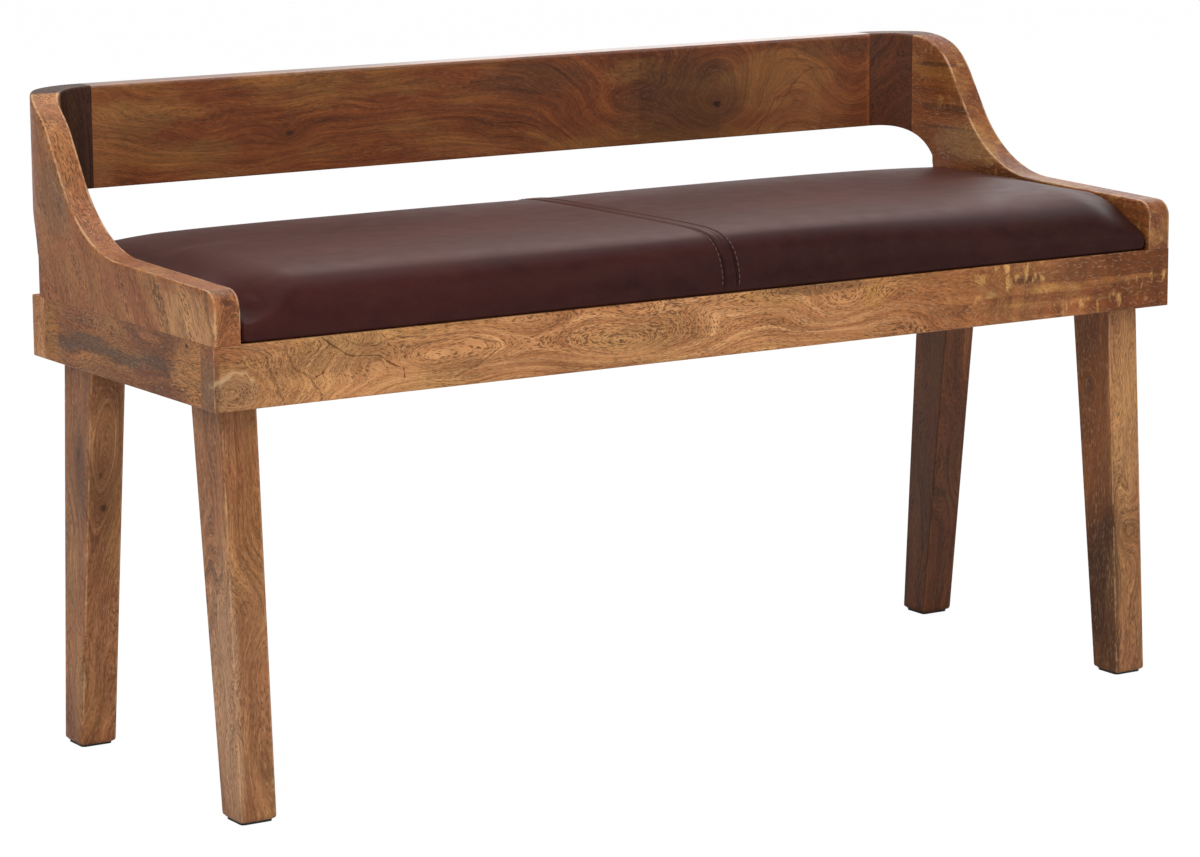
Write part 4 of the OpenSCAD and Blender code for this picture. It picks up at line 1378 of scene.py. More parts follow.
@dataclass
class Surround:
    """The swept arms, the bends and the back board."""

    arm_h: float = 47.0
    slope: float = 1.1
    nose_r: float = 16.0
    sweep_r: float = 135.0
    sweep_a: float = 57.0
    crest_r: float = 84.0
    crest_end_y: float = 182.0
    opening_r: float = 60.0
    opening_turn: float = 15.0
    soft: float = 2.2
    crisp: float = 1.0
    joint: float = 0.12
    fine_y: float = 100.0
    split_low: float = 0.3
    split_from: float = 60.0
    block_inside: float = 66.0
    block_middle: float = 78.0
    outline: Array = field(init=False)

    def __post_init__(self) -> None:
        """Works out the outline of the arm's top: nose, slope, sweep and crest."""
        s, a = math.radians(self.slope), math.radians(self.sweep_a)
        arm_z = ARM_Z + self.arm_h
        crest_y = self.crest_end_y - self.crest_r * math.sin(a)
        crest_z = TOP_Z - self.crest_r * (1 - math.cos(a))
        sweep_y = ((math.tan(a) * (crest_y - self.sweep_r * (math.sin(a) - math.sin(s)))
                    - crest_z + arm_z - math.tan(s) * FRONT_Y
                    + self.sweep_r * (math.cos(s) - math.cos(a)))
                   / (math.tan(a) - math.tan(s)))
        sweep_z = arm_z + math.tan(s) * (sweep_y - FRONT_Y)
        nose = self.arc((FRONT_Y + self.nose_r, arm_z - self.nose_r), self.nose_r, 180.0,
                        90.0 + self.slope, 16)
        sweep = self.arc((sweep_y - self.sweep_r * math.sin(s),
                          sweep_z + self.sweep_r * math.cos(s)), self.sweep_r,
                         270.0 + self.slope, 270.0 + self.sweep_a, 40)
        crest = self.arc((self.crest_end_y, TOP_Z - self.crest_r), self.crest_r,
                         90.0 + self.sweep_a, 90.0, 32)
        self.outline = np.concatenate([nose, sweep, crest, [[BACK_Y, TOP_Z]]])

    @staticmethod
    def columns() -> tuple[Array, Array]:
        """Lines across a face: for each its share of the width and its distance from there."""
        mid = np.linspace(0, 1, 9)[1:-1]
        edges = np.zeros(len(EDGE_LINES))
        return (np.concatenate([edges, mid, edges + 1.0]),
                np.concatenate([EDGE_LINES, EDGE_LINES[-1] * (1 - 2 * mid), -EDGE_LINES[::-1]]))

    @staticmethod
    def arc(centre: Place, radius: float, start: float, stop: float, steps: int) -> Array:
        """Points on an arc, from one angle to another in degrees."""
        angle = np.radians(np.linspace(start, stop, steps + 1))
        return np.stack([centre[0] + radius * np.cos(angle),
                         centre[1] + radius * np.sin(angle)], -1)

    def top_at(self, y: Array) -> Array:
        """Height of the top outline at a depth."""
        return np.interp(y, self.outline[:, 0], self.outline[:, 1])

    def under_at(self, x: Array, y: Array) -> Array:
        """Height of the opening's upper border at a place of the bend.

        The border is an arc of opening_r across the bend, in a plane turned by opening_turn.
        """
        turn = math.radians(self.opening_turn)
        along = -(x - BEND_X) * math.sin(turn) + (y - BEND_Y) * math.cos(turn)
        end = ((ARM_BACK_Y - BEND_Y) - math.sqrt((BEND_R + STOCK) ** 2
               - (ARM_BACK_Y - BEND_Y) ** 2) * math.tan(turn)) * math.cos(turn)
        short = np.clip(end + self.opening_r - along, 0.0, self.opening_r)
        return BOARD_Z - self.opening_r + np.sqrt(self.opening_r ** 2 - short ** 2)

    @staticmethod
    def wall_x(y: Array, radius: float) -> Array:
        """Distance of a wall face from the middle: straight, then round the bend."""
        ahead = np.maximum(y - BEND_Y, 0.0)
        return BEND_X + np.sqrt(np.maximum(radius * radius - ahead * ahead, 0.0))

    def arm(self, name: str, mirrored: bool) -> Thing:
        """One arm with its half of the bend.

        Its grid has upright lines along the depth. Below the split the lines stand on the rail,
        above it they go up to the top outline, and behind the arm's end only the upper ones go
        on, over the opening.
        """
        ahead, behind = FRONT_Y + NOSE_LINES, ARM_BACK_Y - EDGE_LINES[::-1]
        ys = np.concatenate([ahead, spread(ahead[-1], self.fine_y, 4.0), [self.fine_y],
                             spread(self.fine_y, behind[0], 3.5), behind])
        rear = np.concatenate([ARM_BACK_Y + np.array([0.25, 0.9, 1.8, 3.0]),
                               spread(ARM_BACK_Y + 3.0, JOINT_Y - 3.0, 1.6),
                               JOINT_Y - JOINT_LINES[::-1]])
        y = np.concatenate([ys, rear])[:, None]
        back = np.array(ARM_BACK_Y)
        split_end = self.under_at(self.wall_x(back, BEND_R + STOCK / 2), back)
        share_end = (split_end - ARM_Z) / (self.top_at(back) - ARM_Z)
        share = self.split_low + (share_end - self.split_low) * ease(y, self.split_from,
                                                                     ARM_BACK_Y)
        part = np.linspace(0, 1, 6)[1:-1]
        low_s = np.concatenate([np.zeros(3), part, np.ones(6)])
        low_off = np.concatenate([JOINT_LINES[:3], JOINT_LINES[2] * (1 - part)
                                  - EDGE_LINES[6] * part, -EDGE_LINES[1:7][::-1]])
        up_s, up_off = self.columns()
        depth = np.linspace(FRONT_Y, BACK_Y, 2000)
        slope = np.gradient(self.top_at(depth), depth)
        lean = np.sqrt(1 + np.interp(y, depth, slope) ** 2)
        lean = np.where(y < FRONT_Y + self.nose_r + 1.0, 1.0, lean)
        rows, n_low = len(y), len(low_s)
        behind = (y > ARM_BACK_Y)

        def place(t: Array) -> Array:
            """Points at a depth below the inner face."""
            inner, outer = self.wall_x(y, BEND_R), self.wall_x(y, BEND_R + STOCK)
            x = inner + (outer - inner) * t / STOCK
            top = np.broadcast_to(self.top_at(y), x.shape)
            cut = self.under_at(x, np.broadcast_to(y, x.shape))
            split = np.where(behind, cut, ARM_Z + (top - ARM_Z) * share)
            squeeze = np.clip((top - split) / (2.2 * EDGE_LINES[-1] * lean), 0.0, 1.0)
            z_low = ARM_Z + (split[:, :n_low] - ARM_Z) * low_s + low_off * squeeze[:, :n_low]
            z_up = (split[:, n_low:] + (top - split)[:, n_low:] * up_s
                    + up_off * squeeze[:, n_low:] * np.where(up_s > 0.5, lean, 1.0))
            return np.stack([x, np.broadcast_to(y, x.shape), np.concatenate([z_low, z_up], 1)],
                            -1)

        shape = (rows, n_low + len(up_s))
        middle = place(np.full(shape, STOCK / 2))
        flat = middle[..., 1:]
        keep = np.ones((rows - 1, shape[1] - 1), bool)
        keep[len(ys) - 1:, : n_low] = False
        cut_line = middle[len(ys) - 1:, n_low, 1:]
        upper = self.outline[self.outline[:, 0] <= JOINT_Y]
        top_end = (JOINT_Y, float(self.top_at(np.array(JOINT_Y))))
        borders = [
            Border(segment((FRONT_Y, ARM_Z), (ARM_BACK_Y, ARM_Z)), 0.2, self.joint, False),
            Border(segment((FRONT_Y, ARM_Z), tuple(upper[0])), self.crisp, self.soft),
            Border(np.concatenate([upper, [top_end]]), self.soft, self.soft),
            Border(segment((ARM_BACK_Y, ARM_Z), tuple(cut_line[0])), self.crisp, self.soft),
            Border(cut_line, self.crisp, self.soft),
            Border(segment(tuple(cut_line[-1]), top_end), 0.2, self.joint, False),
        ]
        return Slab(flat, place, STOCK, borders, keep=keep,
                    corners=((ARM_BACK_Y, ARM_Z),)).build(name, mirrored)

    def corner_block(self, name: str, mirrored: bool) -> Thing:
        """The glued second half of a bend, from the joint with the arm to the back board."""
        ahead = JOINT_Y - BEND_Y
        start_in, start_out = math.asin(ahead / BEND_R), math.asin(ahead / (BEND_R + STOCK))
        long = self.block_inside
        w = lines_between(0.0, long, JOINT_LINES, JOINT_LINES, 2.5)[:, None] / long
        b_s, b_off = self.columns()

        def place(t: Array) -> Array:
            """Points at a depth below the inner face."""
            share = t / STOCK
            x, y = BEND_X, BEND_Y
            for start, radius, part in ((start_in, BEND_R, 1 - share),
                                        (start_out, BEND_R + STOCK, share)):
                angle = start + (math.pi / 2 - start) * w
                x = x + radius * np.cos(angle) * part
                y = y + radius * np.sin(angle) * part
            top, cut = self.top_at(y), self.under_at(x, y)
            return np.stack([x, y, cut + (top - cut) * b_s + b_off], -1)

        shape = (len(w), len(b_s))
        middle = place(np.full(shape, STOCK / 2))
        flat = np.stack([np.broadcast_to(w * self.block_middle, shape), middle[..., 2]], -1)
        borders = [Border(flat[0], 0.2, self.joint, False),
                   Border(flat[-1], self.joint, self.joint, False),
                   Border(flat[:, 0], self.crisp, self.soft),
                   Border(flat[:, -1], self.soft, self.soft)]
        return Slab(flat, place, STOCK, borders).build(name, mirrored)

    def board(self, name: str) -> Thing:
        """The straight back board between the corner blocks."""
        a = lines_between(-BEND_X, BEND_X, JOINT_LINES, JOINT_LINES, 25.0)
        b = lines_between(BOARD_Z, TOP_Z, EDGE_LINES, EDGE_LINES, 10.0)
        radii = [(self.joint, self.joint, False)] * 2 + [(self.crisp, self.soft, True),
                                                         (self.soft, self.soft, True)]
        return box_slab(a, b, lambda x, z, t: np.stack([x, BOARD_Y + t, z], -1), STOCK, radii,
                        0.0).build(name)

    def make(self, fx: Effects) -> None:
        """Builds and dresses the arms, the corner blocks and the back board."""
        rows = (("arm", "arm", self.arm, "honey_wood", ARM_LEFT, ARM_RIGHT),
                ("corner", "corner_block", self.corner_block, "dark_wood", BLOCK_LEFT,
                 BLOCK_RIGHT))
        for name, node, build, slot, *woods in rows:
            for side, wood in zip(("left", "right"), woods):
                dress(build(f"{name}_{side}_wood", side == "left"), wood.material(fx), slot,
                      f"{node}_{side}")
        dress(self.board("back_board_wood"), BACK_BOARD.material(fx), "dark_wood", "back_board")


@dataclass
class Legs:
    """The four splayed legs."""

    width: float = 36.0
    top_d: float = 55.5
    foot_d: float = 35.0
    inset_y: float = 27.0
    splay: float = 22.0
    foot_z: float = 1.2
    mid_x: float = 489.0
    mid_y: float = -26.5
    edge_r: float = 1.8
    foot_r: float = 5.0

    def leg(self, name: str, left: bool, back: bool) -> Thing:
        """One leg: a tapered, leaning board with a soft foot.

        Across the depth the lines go from the front face to the back face, which both lean, and
        the points between them are shared out by that width.
        """
        across = lines_between(0.0, self.foot_d, EDGE_LINES, EDGE_LINES, 6.0)
        up = lines_between(self.foot_z, RAIL_Z, FOOT_LINES, JOINT_LINES, 18.0)
        grid_a, grid_z = (g.astype(float) for g in np.meshgrid(across, up, indexing="ij"))
        flat = np.stack([grid_a, grid_z], -1)
        for at, signs in (((0.0, self.foot_z), (1, 1)), ((self.foot_d, self.foot_z), (-1, 1))):
            grid_a, grid_z = round_corner(grid_a, grid_z, at, signs, self.foot_r)
        rise = (grid_z - self.foot_z) / (RAIL_Z - self.foot_z)
        wide = self.foot_d + (self.top_d - self.foot_d) * rise
        half = self.foot_d / 2
        near = np.abs(grid_a - half)
        # Lines near an edge keep their distance from it, and the middle takes up the taper
        off = np.sign(grid_a - half) * (wide / 2 - (half - near) * np.where(
            near > half - EDGE_LINES[-1], 1.0, wide / self.foot_d))
        front = FRONT_Y + self.inset_y - self.splay * (1 - rise)
        y = front + wide / 2 + off
        if back:
            y = 2 * self.mid_y - y

        def place(t: Array) -> Array:
            """Points at a depth from the inner face."""
            return np.stack([self.mid_x - self.width / 2 + t, y, grid_z], -1)

        z0, z1, d = self.foot_z, RAIL_Z, self.foot_d
        borders = [Border(segment((0, z0), (0, z1)), self.edge_r, self.edge_r),
                   Border(segment((d, z0), (d, z1)), self.edge_r, self.edge_r),
                   Border(segment((0, z0), (d, z0)), self.foot_r, self.foot_r),
                   Border(segment((0, z1), (d, z1)), 0.3, 0.3, False)]
        return Slab(flat, place, self.width, borders,
                    corners=((0, z0), (d, z0))).build(name, left)

    def make(self, fx: Effects) -> None:
        """Builds and dresses the four legs."""
        for wood, left, back in ((LEG_FL, True, False), (LEG_FR, False, False),
                                 (LEG_BL, True, True), (LEG_BR, False, True)):
            node = f"leg_{'back' if back else 'front'}_{'left' if left else 'right'}"
            dress(self.leg(f"{node}_wood", left, back), wood.material(fx), "leg_wood", node)


@dataclass
class SeatPad:
    """The leather seat pad: a crowned pad with a rolled front and a sewn seam in the middle."""

    half: float = 497.2
    end_r: float = 7.0
    hem: float = 30.0
    seam: float = 6.8
    stitch_x: float = 9.4
    middle: tuple[Place, ...] = (
        *PAD_FRONT, (-207.2, 427.6), (-209.6, 434), (-210.8, 444), (-210, 455),
        (-206.5, 464.5), (-200, 472), (-190.5, 477.6), (-177, 480.6), (-158, 481.9),
        (-120, 482.2), (-70, 482), (-10, 481.4), (50, 480.6), (95, 479.6), (124, 478.2),
        (139, 475.6), (148.5, 470.6), (153, 462), (154.2, 448), (153.6, 434), (151.6, 427.6),
        *PAD_BACK)
    end: tuple[Place, ...] = (
        *PAD_FRONT, (-206.8, 427.6), (-207.4, 432), (-207.4, 437), (-204.5, 442.3),
        (-198, 446.2), (-189.5, 450.7), (-179.5, 455.8), (-169, 461.3), (-158, 466.2),
        (-143, 470.8), (-122, 473.9), (-80, 474.3), (-10, 474.5), (60, 474.6), (110, 474),
        (134, 471.8), (145.5, 467), (151, 459), (153, 446), (152.8, 434), (151.2, 427.6),
        *PAD_BACK)
    shoulder: tuple[Place, ...] = (
        *PAD_FRONT, (-207, 427.6), (-208.6, 434), (-208.8, 441), (-206.5, 448.5),
        (-201.5, 456), (-193.5, 462.8), (-183, 468.4), (-170, 473.2), (-154, 477),
        (-130, 479.6), (-75, 480.4), (-10, 480.6))
    turn: Pair = (60, 440)
    corner_drop: tuple[float, ...] = (0, 0, 0, 0, 0, 0, 1.3, 4.2, 5.7, 6.8, 7.3, 6.2,
                                      4.3, 2.9, 1.3)
    corner_from: float = 462.0
    rear_drop: float = 6.0
    rear_from: float = 400.0
    inset: float = 1.2
    slack: Pair = (440.0, 12.0)
    tuck: Pair = (428.0, 6.0)
    # upward sets which faces take the painted light of the top; the next two fields paint shade
    # beside the left arm by taking that light away
    upward: Pair = (0.91, 0.08)
    arm_shade_span: Pair = (438.0, 492.0)
    arm_shade: float = 0.9
    grooves: tuple[tuple[float, float, float, int], ...] = (
        (0.9, 0, 8.5, 4), (-1.3, 6.8, 1.3, 2), (-0.5, 0, 1, 2))
    lean: float = 4.0
    lean_wide: float = 60.0
    lean_ahead: Pair = (188.0, 20.0)
    lean_below: Pair = (-478.0, 40.0)
    crease: tuple[Place, ...] = ((-496.0, 437.0), (-490.0, 447.5), (-484.5, 452.5),
                                 (-476.0, 458.0))
    crease_high: float = 1.7
    crease_wide: float = 3.0
    crease_from: Pair = (462.0, 482.0)
    crease_back_y: float = -175.0
    heart: Place = (-26.5, 450.0)
    shell: float = 1.3
    foam_inset: float = 4.0
    foam_end: float = 9.0
    foam_z: float = 438.8
    held_z: float = 429.0
    stitched_z: float = 432.0
    frames: int = 20
    hold: float = 0.2
    pressure: float = 4.0
    sheet: Array | None = None

    def stations(self) -> Array:
        """Places of the sections along half of the pad, from the seam to the end."""
        mid = spread(SEAM_LINES[-1], self.half - self.hem, 6.0)
        turn = np.linspace(0.0, math.pi / 2, 7)
        end = self.half - self.end_r * (1 - np.sin(turn))
        return np.concatenate([SEAM_LINES, mid, [self.half - self.hem],
                               spread(self.half - self.hem, end[0], 2.0), end])

    def section(self, x: Array, inset: float, places: Array | None = None) -> Array:
        """Sections of the pad at places along it.

        On the right the corners of the middle section turn slowly into those of the shoulder,
        and near both ends into those of the end section, the rear ones with (|x| / half) to
        the power 6. Both corners of the left end fall off further. A smooth curve runs through
        the corners, and at the end the section falls back by the end's rounding.

        Args:
            x: Places along the pad, shape (m,).
            inset: Distance of the surface below the outside of the leather.
            places: Places along the corners, or None for 150 even ones.

        Returns:
            Points, shape (m, n, 2), of depth and height.
        """
        middle, end = np.array(self.middle), np.array(self.end)
        index = np.arange(len(middle))
        shoulder = np.concatenate([np.array(self.shoulder), middle[len(self.shoulder):]])
        middle = middle + (shoulder - middle) * ease(x, *self.turn)[:, None, None]
        share = ease(np.abs(x)[:, None], self.turn[1], self.half)
        rear = (np.abs(x)[:, None] / self.half) ** 6
        share = np.where(index < len(self.shoulder), share, rear)[..., None]
        corners = middle + (end - middle) * share
        fall = ease(-x, self.corner_from, self.half)[:, None]
        corners[:, : len(self.corner_drop), 1] -= fall * np.array(self.corner_drop)
        drop = self.rear_drop * ease(-x, self.rear_from, self.half + 20.0)[:, None]
        corners[..., 1] -= drop * np.interp(index, [11, 16, 20, 22], [0, 1, 1, 0])
        curve = self.smooth(corners, self.fine if places is None else places)
        fall = (rounding(self.half - np.abs(x), self.end_r) + inset)[:, None]
        return curve - self.outward(curve) * fall[..., None]

    @property
    def fine(self) -> Array:
        """Places of the columns of the finished cover, evenly from corner to corner."""
        return np.linspace(0, len(self.middle) - 1, 150)

    def outward(self, yz: Array) -> Array:
        """Unit directions out of the pad, in the plane of each section."""
        tangent = np.gradient(yz, axis=1)
        normal = np.stack([tangent[..., 1], -tangent[..., 0]], -1)
        normal /= np.maximum(np.linalg.norm(normal, axis=-1, keepdims=True), 1e-9)
        return normal * np.sign(((yz - np.array(self.heart)) * normal).sum(-1).mean())

    def start(self, x: Array, places: Array | None = None) -> Array:
        """Sections of the slack leather: a little inside the pad, except low down."""
        yz = self.section(x, 0.0, places)
        return yz - self.outward(yz) * self.inset * climb(yz[..., 1:], *self.slack)

    @staticmethod
    def smooth(corners: Array, places: Array) -> Array:
        """Smooth curve through corners: cubic stretches whose slopes are half the chord across.

        Args:
            corners: Corners, shape (m, k, d).
            places: Places along them, from 0 to k - 1.

        Returns:
            Points, shape (m, n, d).
        """
        slope = np.empty_like(corners)
        slope[:, 1:-1] = (corners[:, 2:] - corners[:, :-2]) / 2
        slope[:, 0], slope[:, -1] = corners[:, 1] - corners[:, 0], corners[:, -1] - corners[:, -2]
        i = np.clip(places.astype(int), 0, corners.shape[1] - 2)
        t = (places - i)[None, :, None]
        p, q, u, v = corners[:, i], corners[:, i + 1], slope[:, i], slope[:, i + 1]
        return ((2 * t ** 3 - 3 * t ** 2 + 1) * p + (t ** 3 - 2 * t ** 2 + t) * u
                + (3 * t ** 2 - 2 * t ** 3) * q + (t ** 3 - t ** 2) * v)

    def leather(self, name: str) -> Thing:
        """The cover: a sheet round the pad with its hem turned under, closed round its ends."""
        x = both_sides(self.stations())
        yz = self.start(x)
        normal = self.outward(yz)
        on_top = climb(yz[..., 1], *self.tuck)
        rise = self.groove(x)[:, None] * on_top + self.fold(x, yz)
        yz = yz + normal * (rise + self.inflate(x))[..., None]
        # Painted light: the share of the lighter top tones, by how far a face looks up
        crown = climb(normal[..., 1], *self.upward)
        # Painted shade beside the left arm: the top light fades out there
        crown *= 1.0 - self.arm_shade * ease(-x, *self.arm_shade_span)[:, None]
        self.sheet = sheet_points(x[:, None] + self.seam_lean(x, yz), yz)
        index = numbered(*yz.shape[:2])
        ends = np.abs(x) >= self.half - self.hem - 0.01
        under = closing_strip(index)[ends[:-1] & ends[1:]]
        faces = np.concatenate([grid_quads(*index.shape), under, *folded_ends(index)])
        # Mask of the painted shade in the seam's grooves
        line = np.exp(-((np.abs(x) - self.seam) / 0.8) ** 2)[:, None] * on_top
        marks = {"seam": line.reshape(-1), "crown": crown.reshape(-1)}
        piece = make_piece(name, self.sheet.reshape(-1, 3), faces, marks, sharp=60.0)
        shell = piece.modifiers.new("thickness", "SOLIDIFY")
        shell.thickness = self.shell * MM
        shell.offset = -1.0
        return piece

    def fold(self, x: Array, yz: Array) -> Array:
        """Height of the soft fold along the crease at the front left corner."""
        place = sheet_points(x[:, None], yz)[..., ::2]
        away = distance_to(place, np.array(self.crease)) / self.crease_wide
        high = self.crease_high * np.exp(-away ** 2) * ease(-x, *self.crease_from)[:, None]
        return high * (yz[..., 0] < self.crease_back_y)

    def seam_lean(self, x: Array, yz: Array) -> Array:
        """How far the seam's lower front end stands to the right, fading out to both sides."""
        front = climb(-yz[..., 0], *self.lean_ahead) * climb(-yz[..., 1], *self.lean_below)
        return self.lean * front * np.exp(-(x[:, None] / self.lean_wide) ** 2)

    def inflate(self, x: Array) -> Array:
        """How far the filling pushes the leather out, from a cloth simulation.

        A coarser sheet starts a little inside the finished cover. Its hem, ends and seam are
        held, and the rest is held softly where it starts. Pressure swells it for some frames
        without gravity. The movement is scaled so that it closes the inset on the open leather,
        and the leather stays drawn in where the sheet is held.

        Args:
            x: Places of the sections of the finished cover.

        Returns:
            Movement of each point of the finished cover outwards, shape (len(x), n).
        """
        edge = self.half - self.hem
        side = np.unique(np.concatenate([[0.0, 3.5, 6.8, 10.5], spread(10.5, edge, 7.0),
                                         spread(edge, self.half, 4.0)]))
        coarse = both_sides(side)
        run = lengths_along(self.section(np.zeros(1), 0.0)[0])
        places = np.interp(np.linspace(0.0, run[-1], int(run[-1] / 6.5)), run, self.fine)
        yz = self.start(coarse, places)
        points = sheet_points(coarse[:, None], yz)
        change = self.simulate(points, yz[..., 1], coarse) - points
        moved = (change[..., 1:] * self.outward(yz)).sum(-1)
        free = np.percentile(moved, 70)
        LOG.info("cloth: %.1f mm on the open leather, %.1f to %.1f mm", free, moved.min(),
                 moved.max())
        moved = np.clip(moved * self.inset / max(free, 0.1), 0.0, 2.0 * self.inset)
        fine = self.smooth(moved[..., None], np.interp(self.fine, places,
                                                       np.arange(len(places))))
        rows_at = np.interp(x, coarse, np.arange(len(coarse)))
        return self.smooth(fine.transpose(1, 0, 2), rows_at)[..., 0].T

    def simulate(self, points: Array, height: Array, x: Array) -> Array:
        """Swells a sheet under pressure with its hem, ends and seam held.

        Args:
            points: Start of the sheet, shape (m, n, 3).
            height: Height of each point, shape (m, n).
            x: Place of each row.

        Returns:
            The points after the last frame, shape (m, n, 3).
        """
        rows, cols = height.shape
        faces = grid_quads(rows, cols)
        if volume(points.reshape(-1, 3), faces) < 0:
            faces = faces[:, ::-1]
        mesh = bpy.data.meshes.new("cloth_sheet")
        mesh.from_pydata((points.reshape(-1, 3) * MM).tolist(), [], faces.tolist())
        sheet = put("cloth_sheet", mesh)
        scene = bpy.context.scene
        held = (height < self.held_z) | (np.abs(x) > self.half - 1.0)[:, None]
        held |= (np.abs(x) < self.seam + 0.5)[:, None]
        group = sheet.vertex_groups.new(name="held")
        group.add(list(range(rows * cols)), self.hold, "REPLACE")
        group.add(np.flatnonzero(held.reshape(-1)).tolist(), 1.0, "REPLACE")
        cloth = sheet.modifiers.new("cloth", "CLOTH")
        rule = cloth.settings
        rule.vertex_group_mass = "held"
        rule.pin_stiffness = 1.0
        rule.quality = 6
        rule.mass = 0.3
        rule.tension_stiffness = rule.compression_stiffness = 40.0
        rule.shear_stiffness = 15.0
        rule.bending_stiffness = 4.0
        rule.use_pressure = True
        rule.uniform_pressure_force = self.pressure
        rule.effector_weights.gravity = 0.0
        cloth.collision_settings.use_collision = False
        cloth.point_cache.frame_start, cloth.point_cache.frame_end = 1, self.frames
        for frame in range(1, self.frames + 1):
            scene.frame_set(frame)
        shaped = sheet.evaluated_get(bpy.context.evaluated_depsgraph_get()).data
        flat = np.empty(rows * cols * 3, np.float32)
        shaped.vertices.foreach_get("co", flat)
        bpy.data.objects.remove(sheet)
        bpy.data.meshes.remove(mesh)
        scene.frame_set(1)
        return flat.reshape(rows, cols, 3).astype(float) / MM

    def stitches(self, name: str, pitch: float = 5.4, length: float = 4.0,
                 thick: float = 0.5) -> Thing:
        """Two rows of thread beside the seam, each stitch a rounded rod on the leather.

        Args:
            name: Name of the piece.
            pitch: Distance from stitch to stitch.
            length: Length of a stitch.
            thick: Radius of the thread.

        Returns:
            The piece.
        """
        x = both_sides(self.stations())
        sides = np.linspace(0, 2 * math.pi, 7)[:-1]
        ends = np.array([-1.0, -0.8, -0.35, 0.35, 0.8, 1.0])
        fat = np.array([0.15, 0.75, 1.0, 1.0, 0.75, 0.15])
        each = len(ends) * len(sides)
        all_points, all_faces, base = [], [], 0
        for place in (-self.stitch_x, self.stitch_x):
            row = self.smooth(self.sheet.transpose(1, 0, 2),
                              np.interp([place], x, np.arange(len(x))))[:, 0]
            row = row[row[:, 2] > self.stitched_z]
            run = lengths_along(row)
            at = np.arange(3.0, run[-1] - 3.0, pitch)
            mid, ahead = (np.stack([np.interp(at + step, run, row[:, k]) for k in range(3)], -1)
                          for step in (0.0, 1.0))
            ahead = ahead - mid
            ahead /= np.linalg.norm(ahead, axis=1, keepdims=True)
            up = np.cross(np.array([1.0, 0.0, 0.0]), ahead)
            up *= np.sign(((mid - np.array([0.0, *self.heart])) * up).sum(-1))[:, None]
            across = np.cross(ahead, up)
            ring = (np.cos(sides)[:, None] * across[:, None, None]
                    + np.sin(sides)[:, None] * up[:, None, None])
            points = (mid[:, None, None] + up[:, None, None] * thick * 0.5
                      + ahead[:, None, None] * (ends * length / 2)[None, :, None, None]
                      + ring * (fat * thick)[None, :, None, None])
            index = base + np.arange(len(at) * each).reshape(-1, len(ends), len(sides))
            after = np.roll(index, -1, axis=2)
            body = np.stack([index[:, :-1], index[:, 1:], after[:, 1:], after[:, :-1]], -1)
            first, last = (index[:, k][:, [[0, 1, 2, 3], [0, 3, 4, 5]]] for k in (0, -1))
            all_points.append(points.reshape(-1, 3))
            all_faces += [f.reshape(-1, 4) for f in (body, first, last[..., ::-1])]
            base += len(at) * each
        return make_piece(name, np.concatenate(all_points), np.concatenate(all_faces))

    def groove(self, x: Array) -> Array:
        """Height of the seam's band: two stitched grooves and a low ridge between them."""
        return sum(high * np.exp(-((np.abs(x) - at) / wide) ** power)
                   for high, at, wide, power in self.grooves)

    def foam(self, name: str) -> Thing:
        """The foam block below the leather, on its board."""
        half = self.stations()
        stop = self.half - self.foam_end
        x = both_sides(np.append(half[half < stop], stop))
        yz = self.section(x, self.foam_inset)
        yz[..., 1] = np.maximum(yz[..., 1], self.foam_z)
        index = numbered(*yz.shape[:2])
        faces = np.concatenate([grid_quads(*index.shape), closing_strip(index),
                                *folded_ends(index)])
        return make_piece(name, sheet_points(x[:, None], yz).reshape(-1, 3), faces)

    def make(self, fx: Effects) -> None:
        """Builds and dresses the pad."""
        cover = dress(self.leather("seat_leather"), Leather().material(fx), "leather",
                      "seat_cover_left", "seat_cover_right")
        dress(self.stitches("seat_stitches"), Thread().material(fx), "leather")
        dress(self.foam("seat_filling"), FOAM.material(fx), "foam", "seat_foam")


@dataclass
class Hidden:
    """The CAD nodes whose shape is right, each with its own finish."""

    def make(self, fx: Effects) -> None:
        """Gives each of these nodes its material."""
        softwood, beech, plywood = (w.material(fx) for w in (SOFTWOOD, BEECH, PLYWOOD))
        zinc, brass, glide, cloth = (s.material(fx) for s in (ZINC, BRASS, GLIDE, Cloth()))
        starts = ((softwood, "leg_block", "seat_slat"), (plywood, "seat_board"),
                  (cloth, "dust_cover"), (brass, "leg_inserts"), (glide, "glide"),
                  (beech, "rail_dowels", "arm_dowels", "bend_dowels", "board_dowels",
                   "slat_dowels"),
                  (zinc, "leg_bolts", "leg_washers", "arm_screws", "block_screws", "seat_screws",
                   "staples"))
        for node, piece in frame["nodes"].items():
            found = [m for m, *names in starts if node.startswith(tuple(names))]
            if found and not piece.hide_render:
                piece.data.materials.clear()
                piece.data.materials.append(found[0])
                LOG.info("node %s: %s", node, found[0].name)


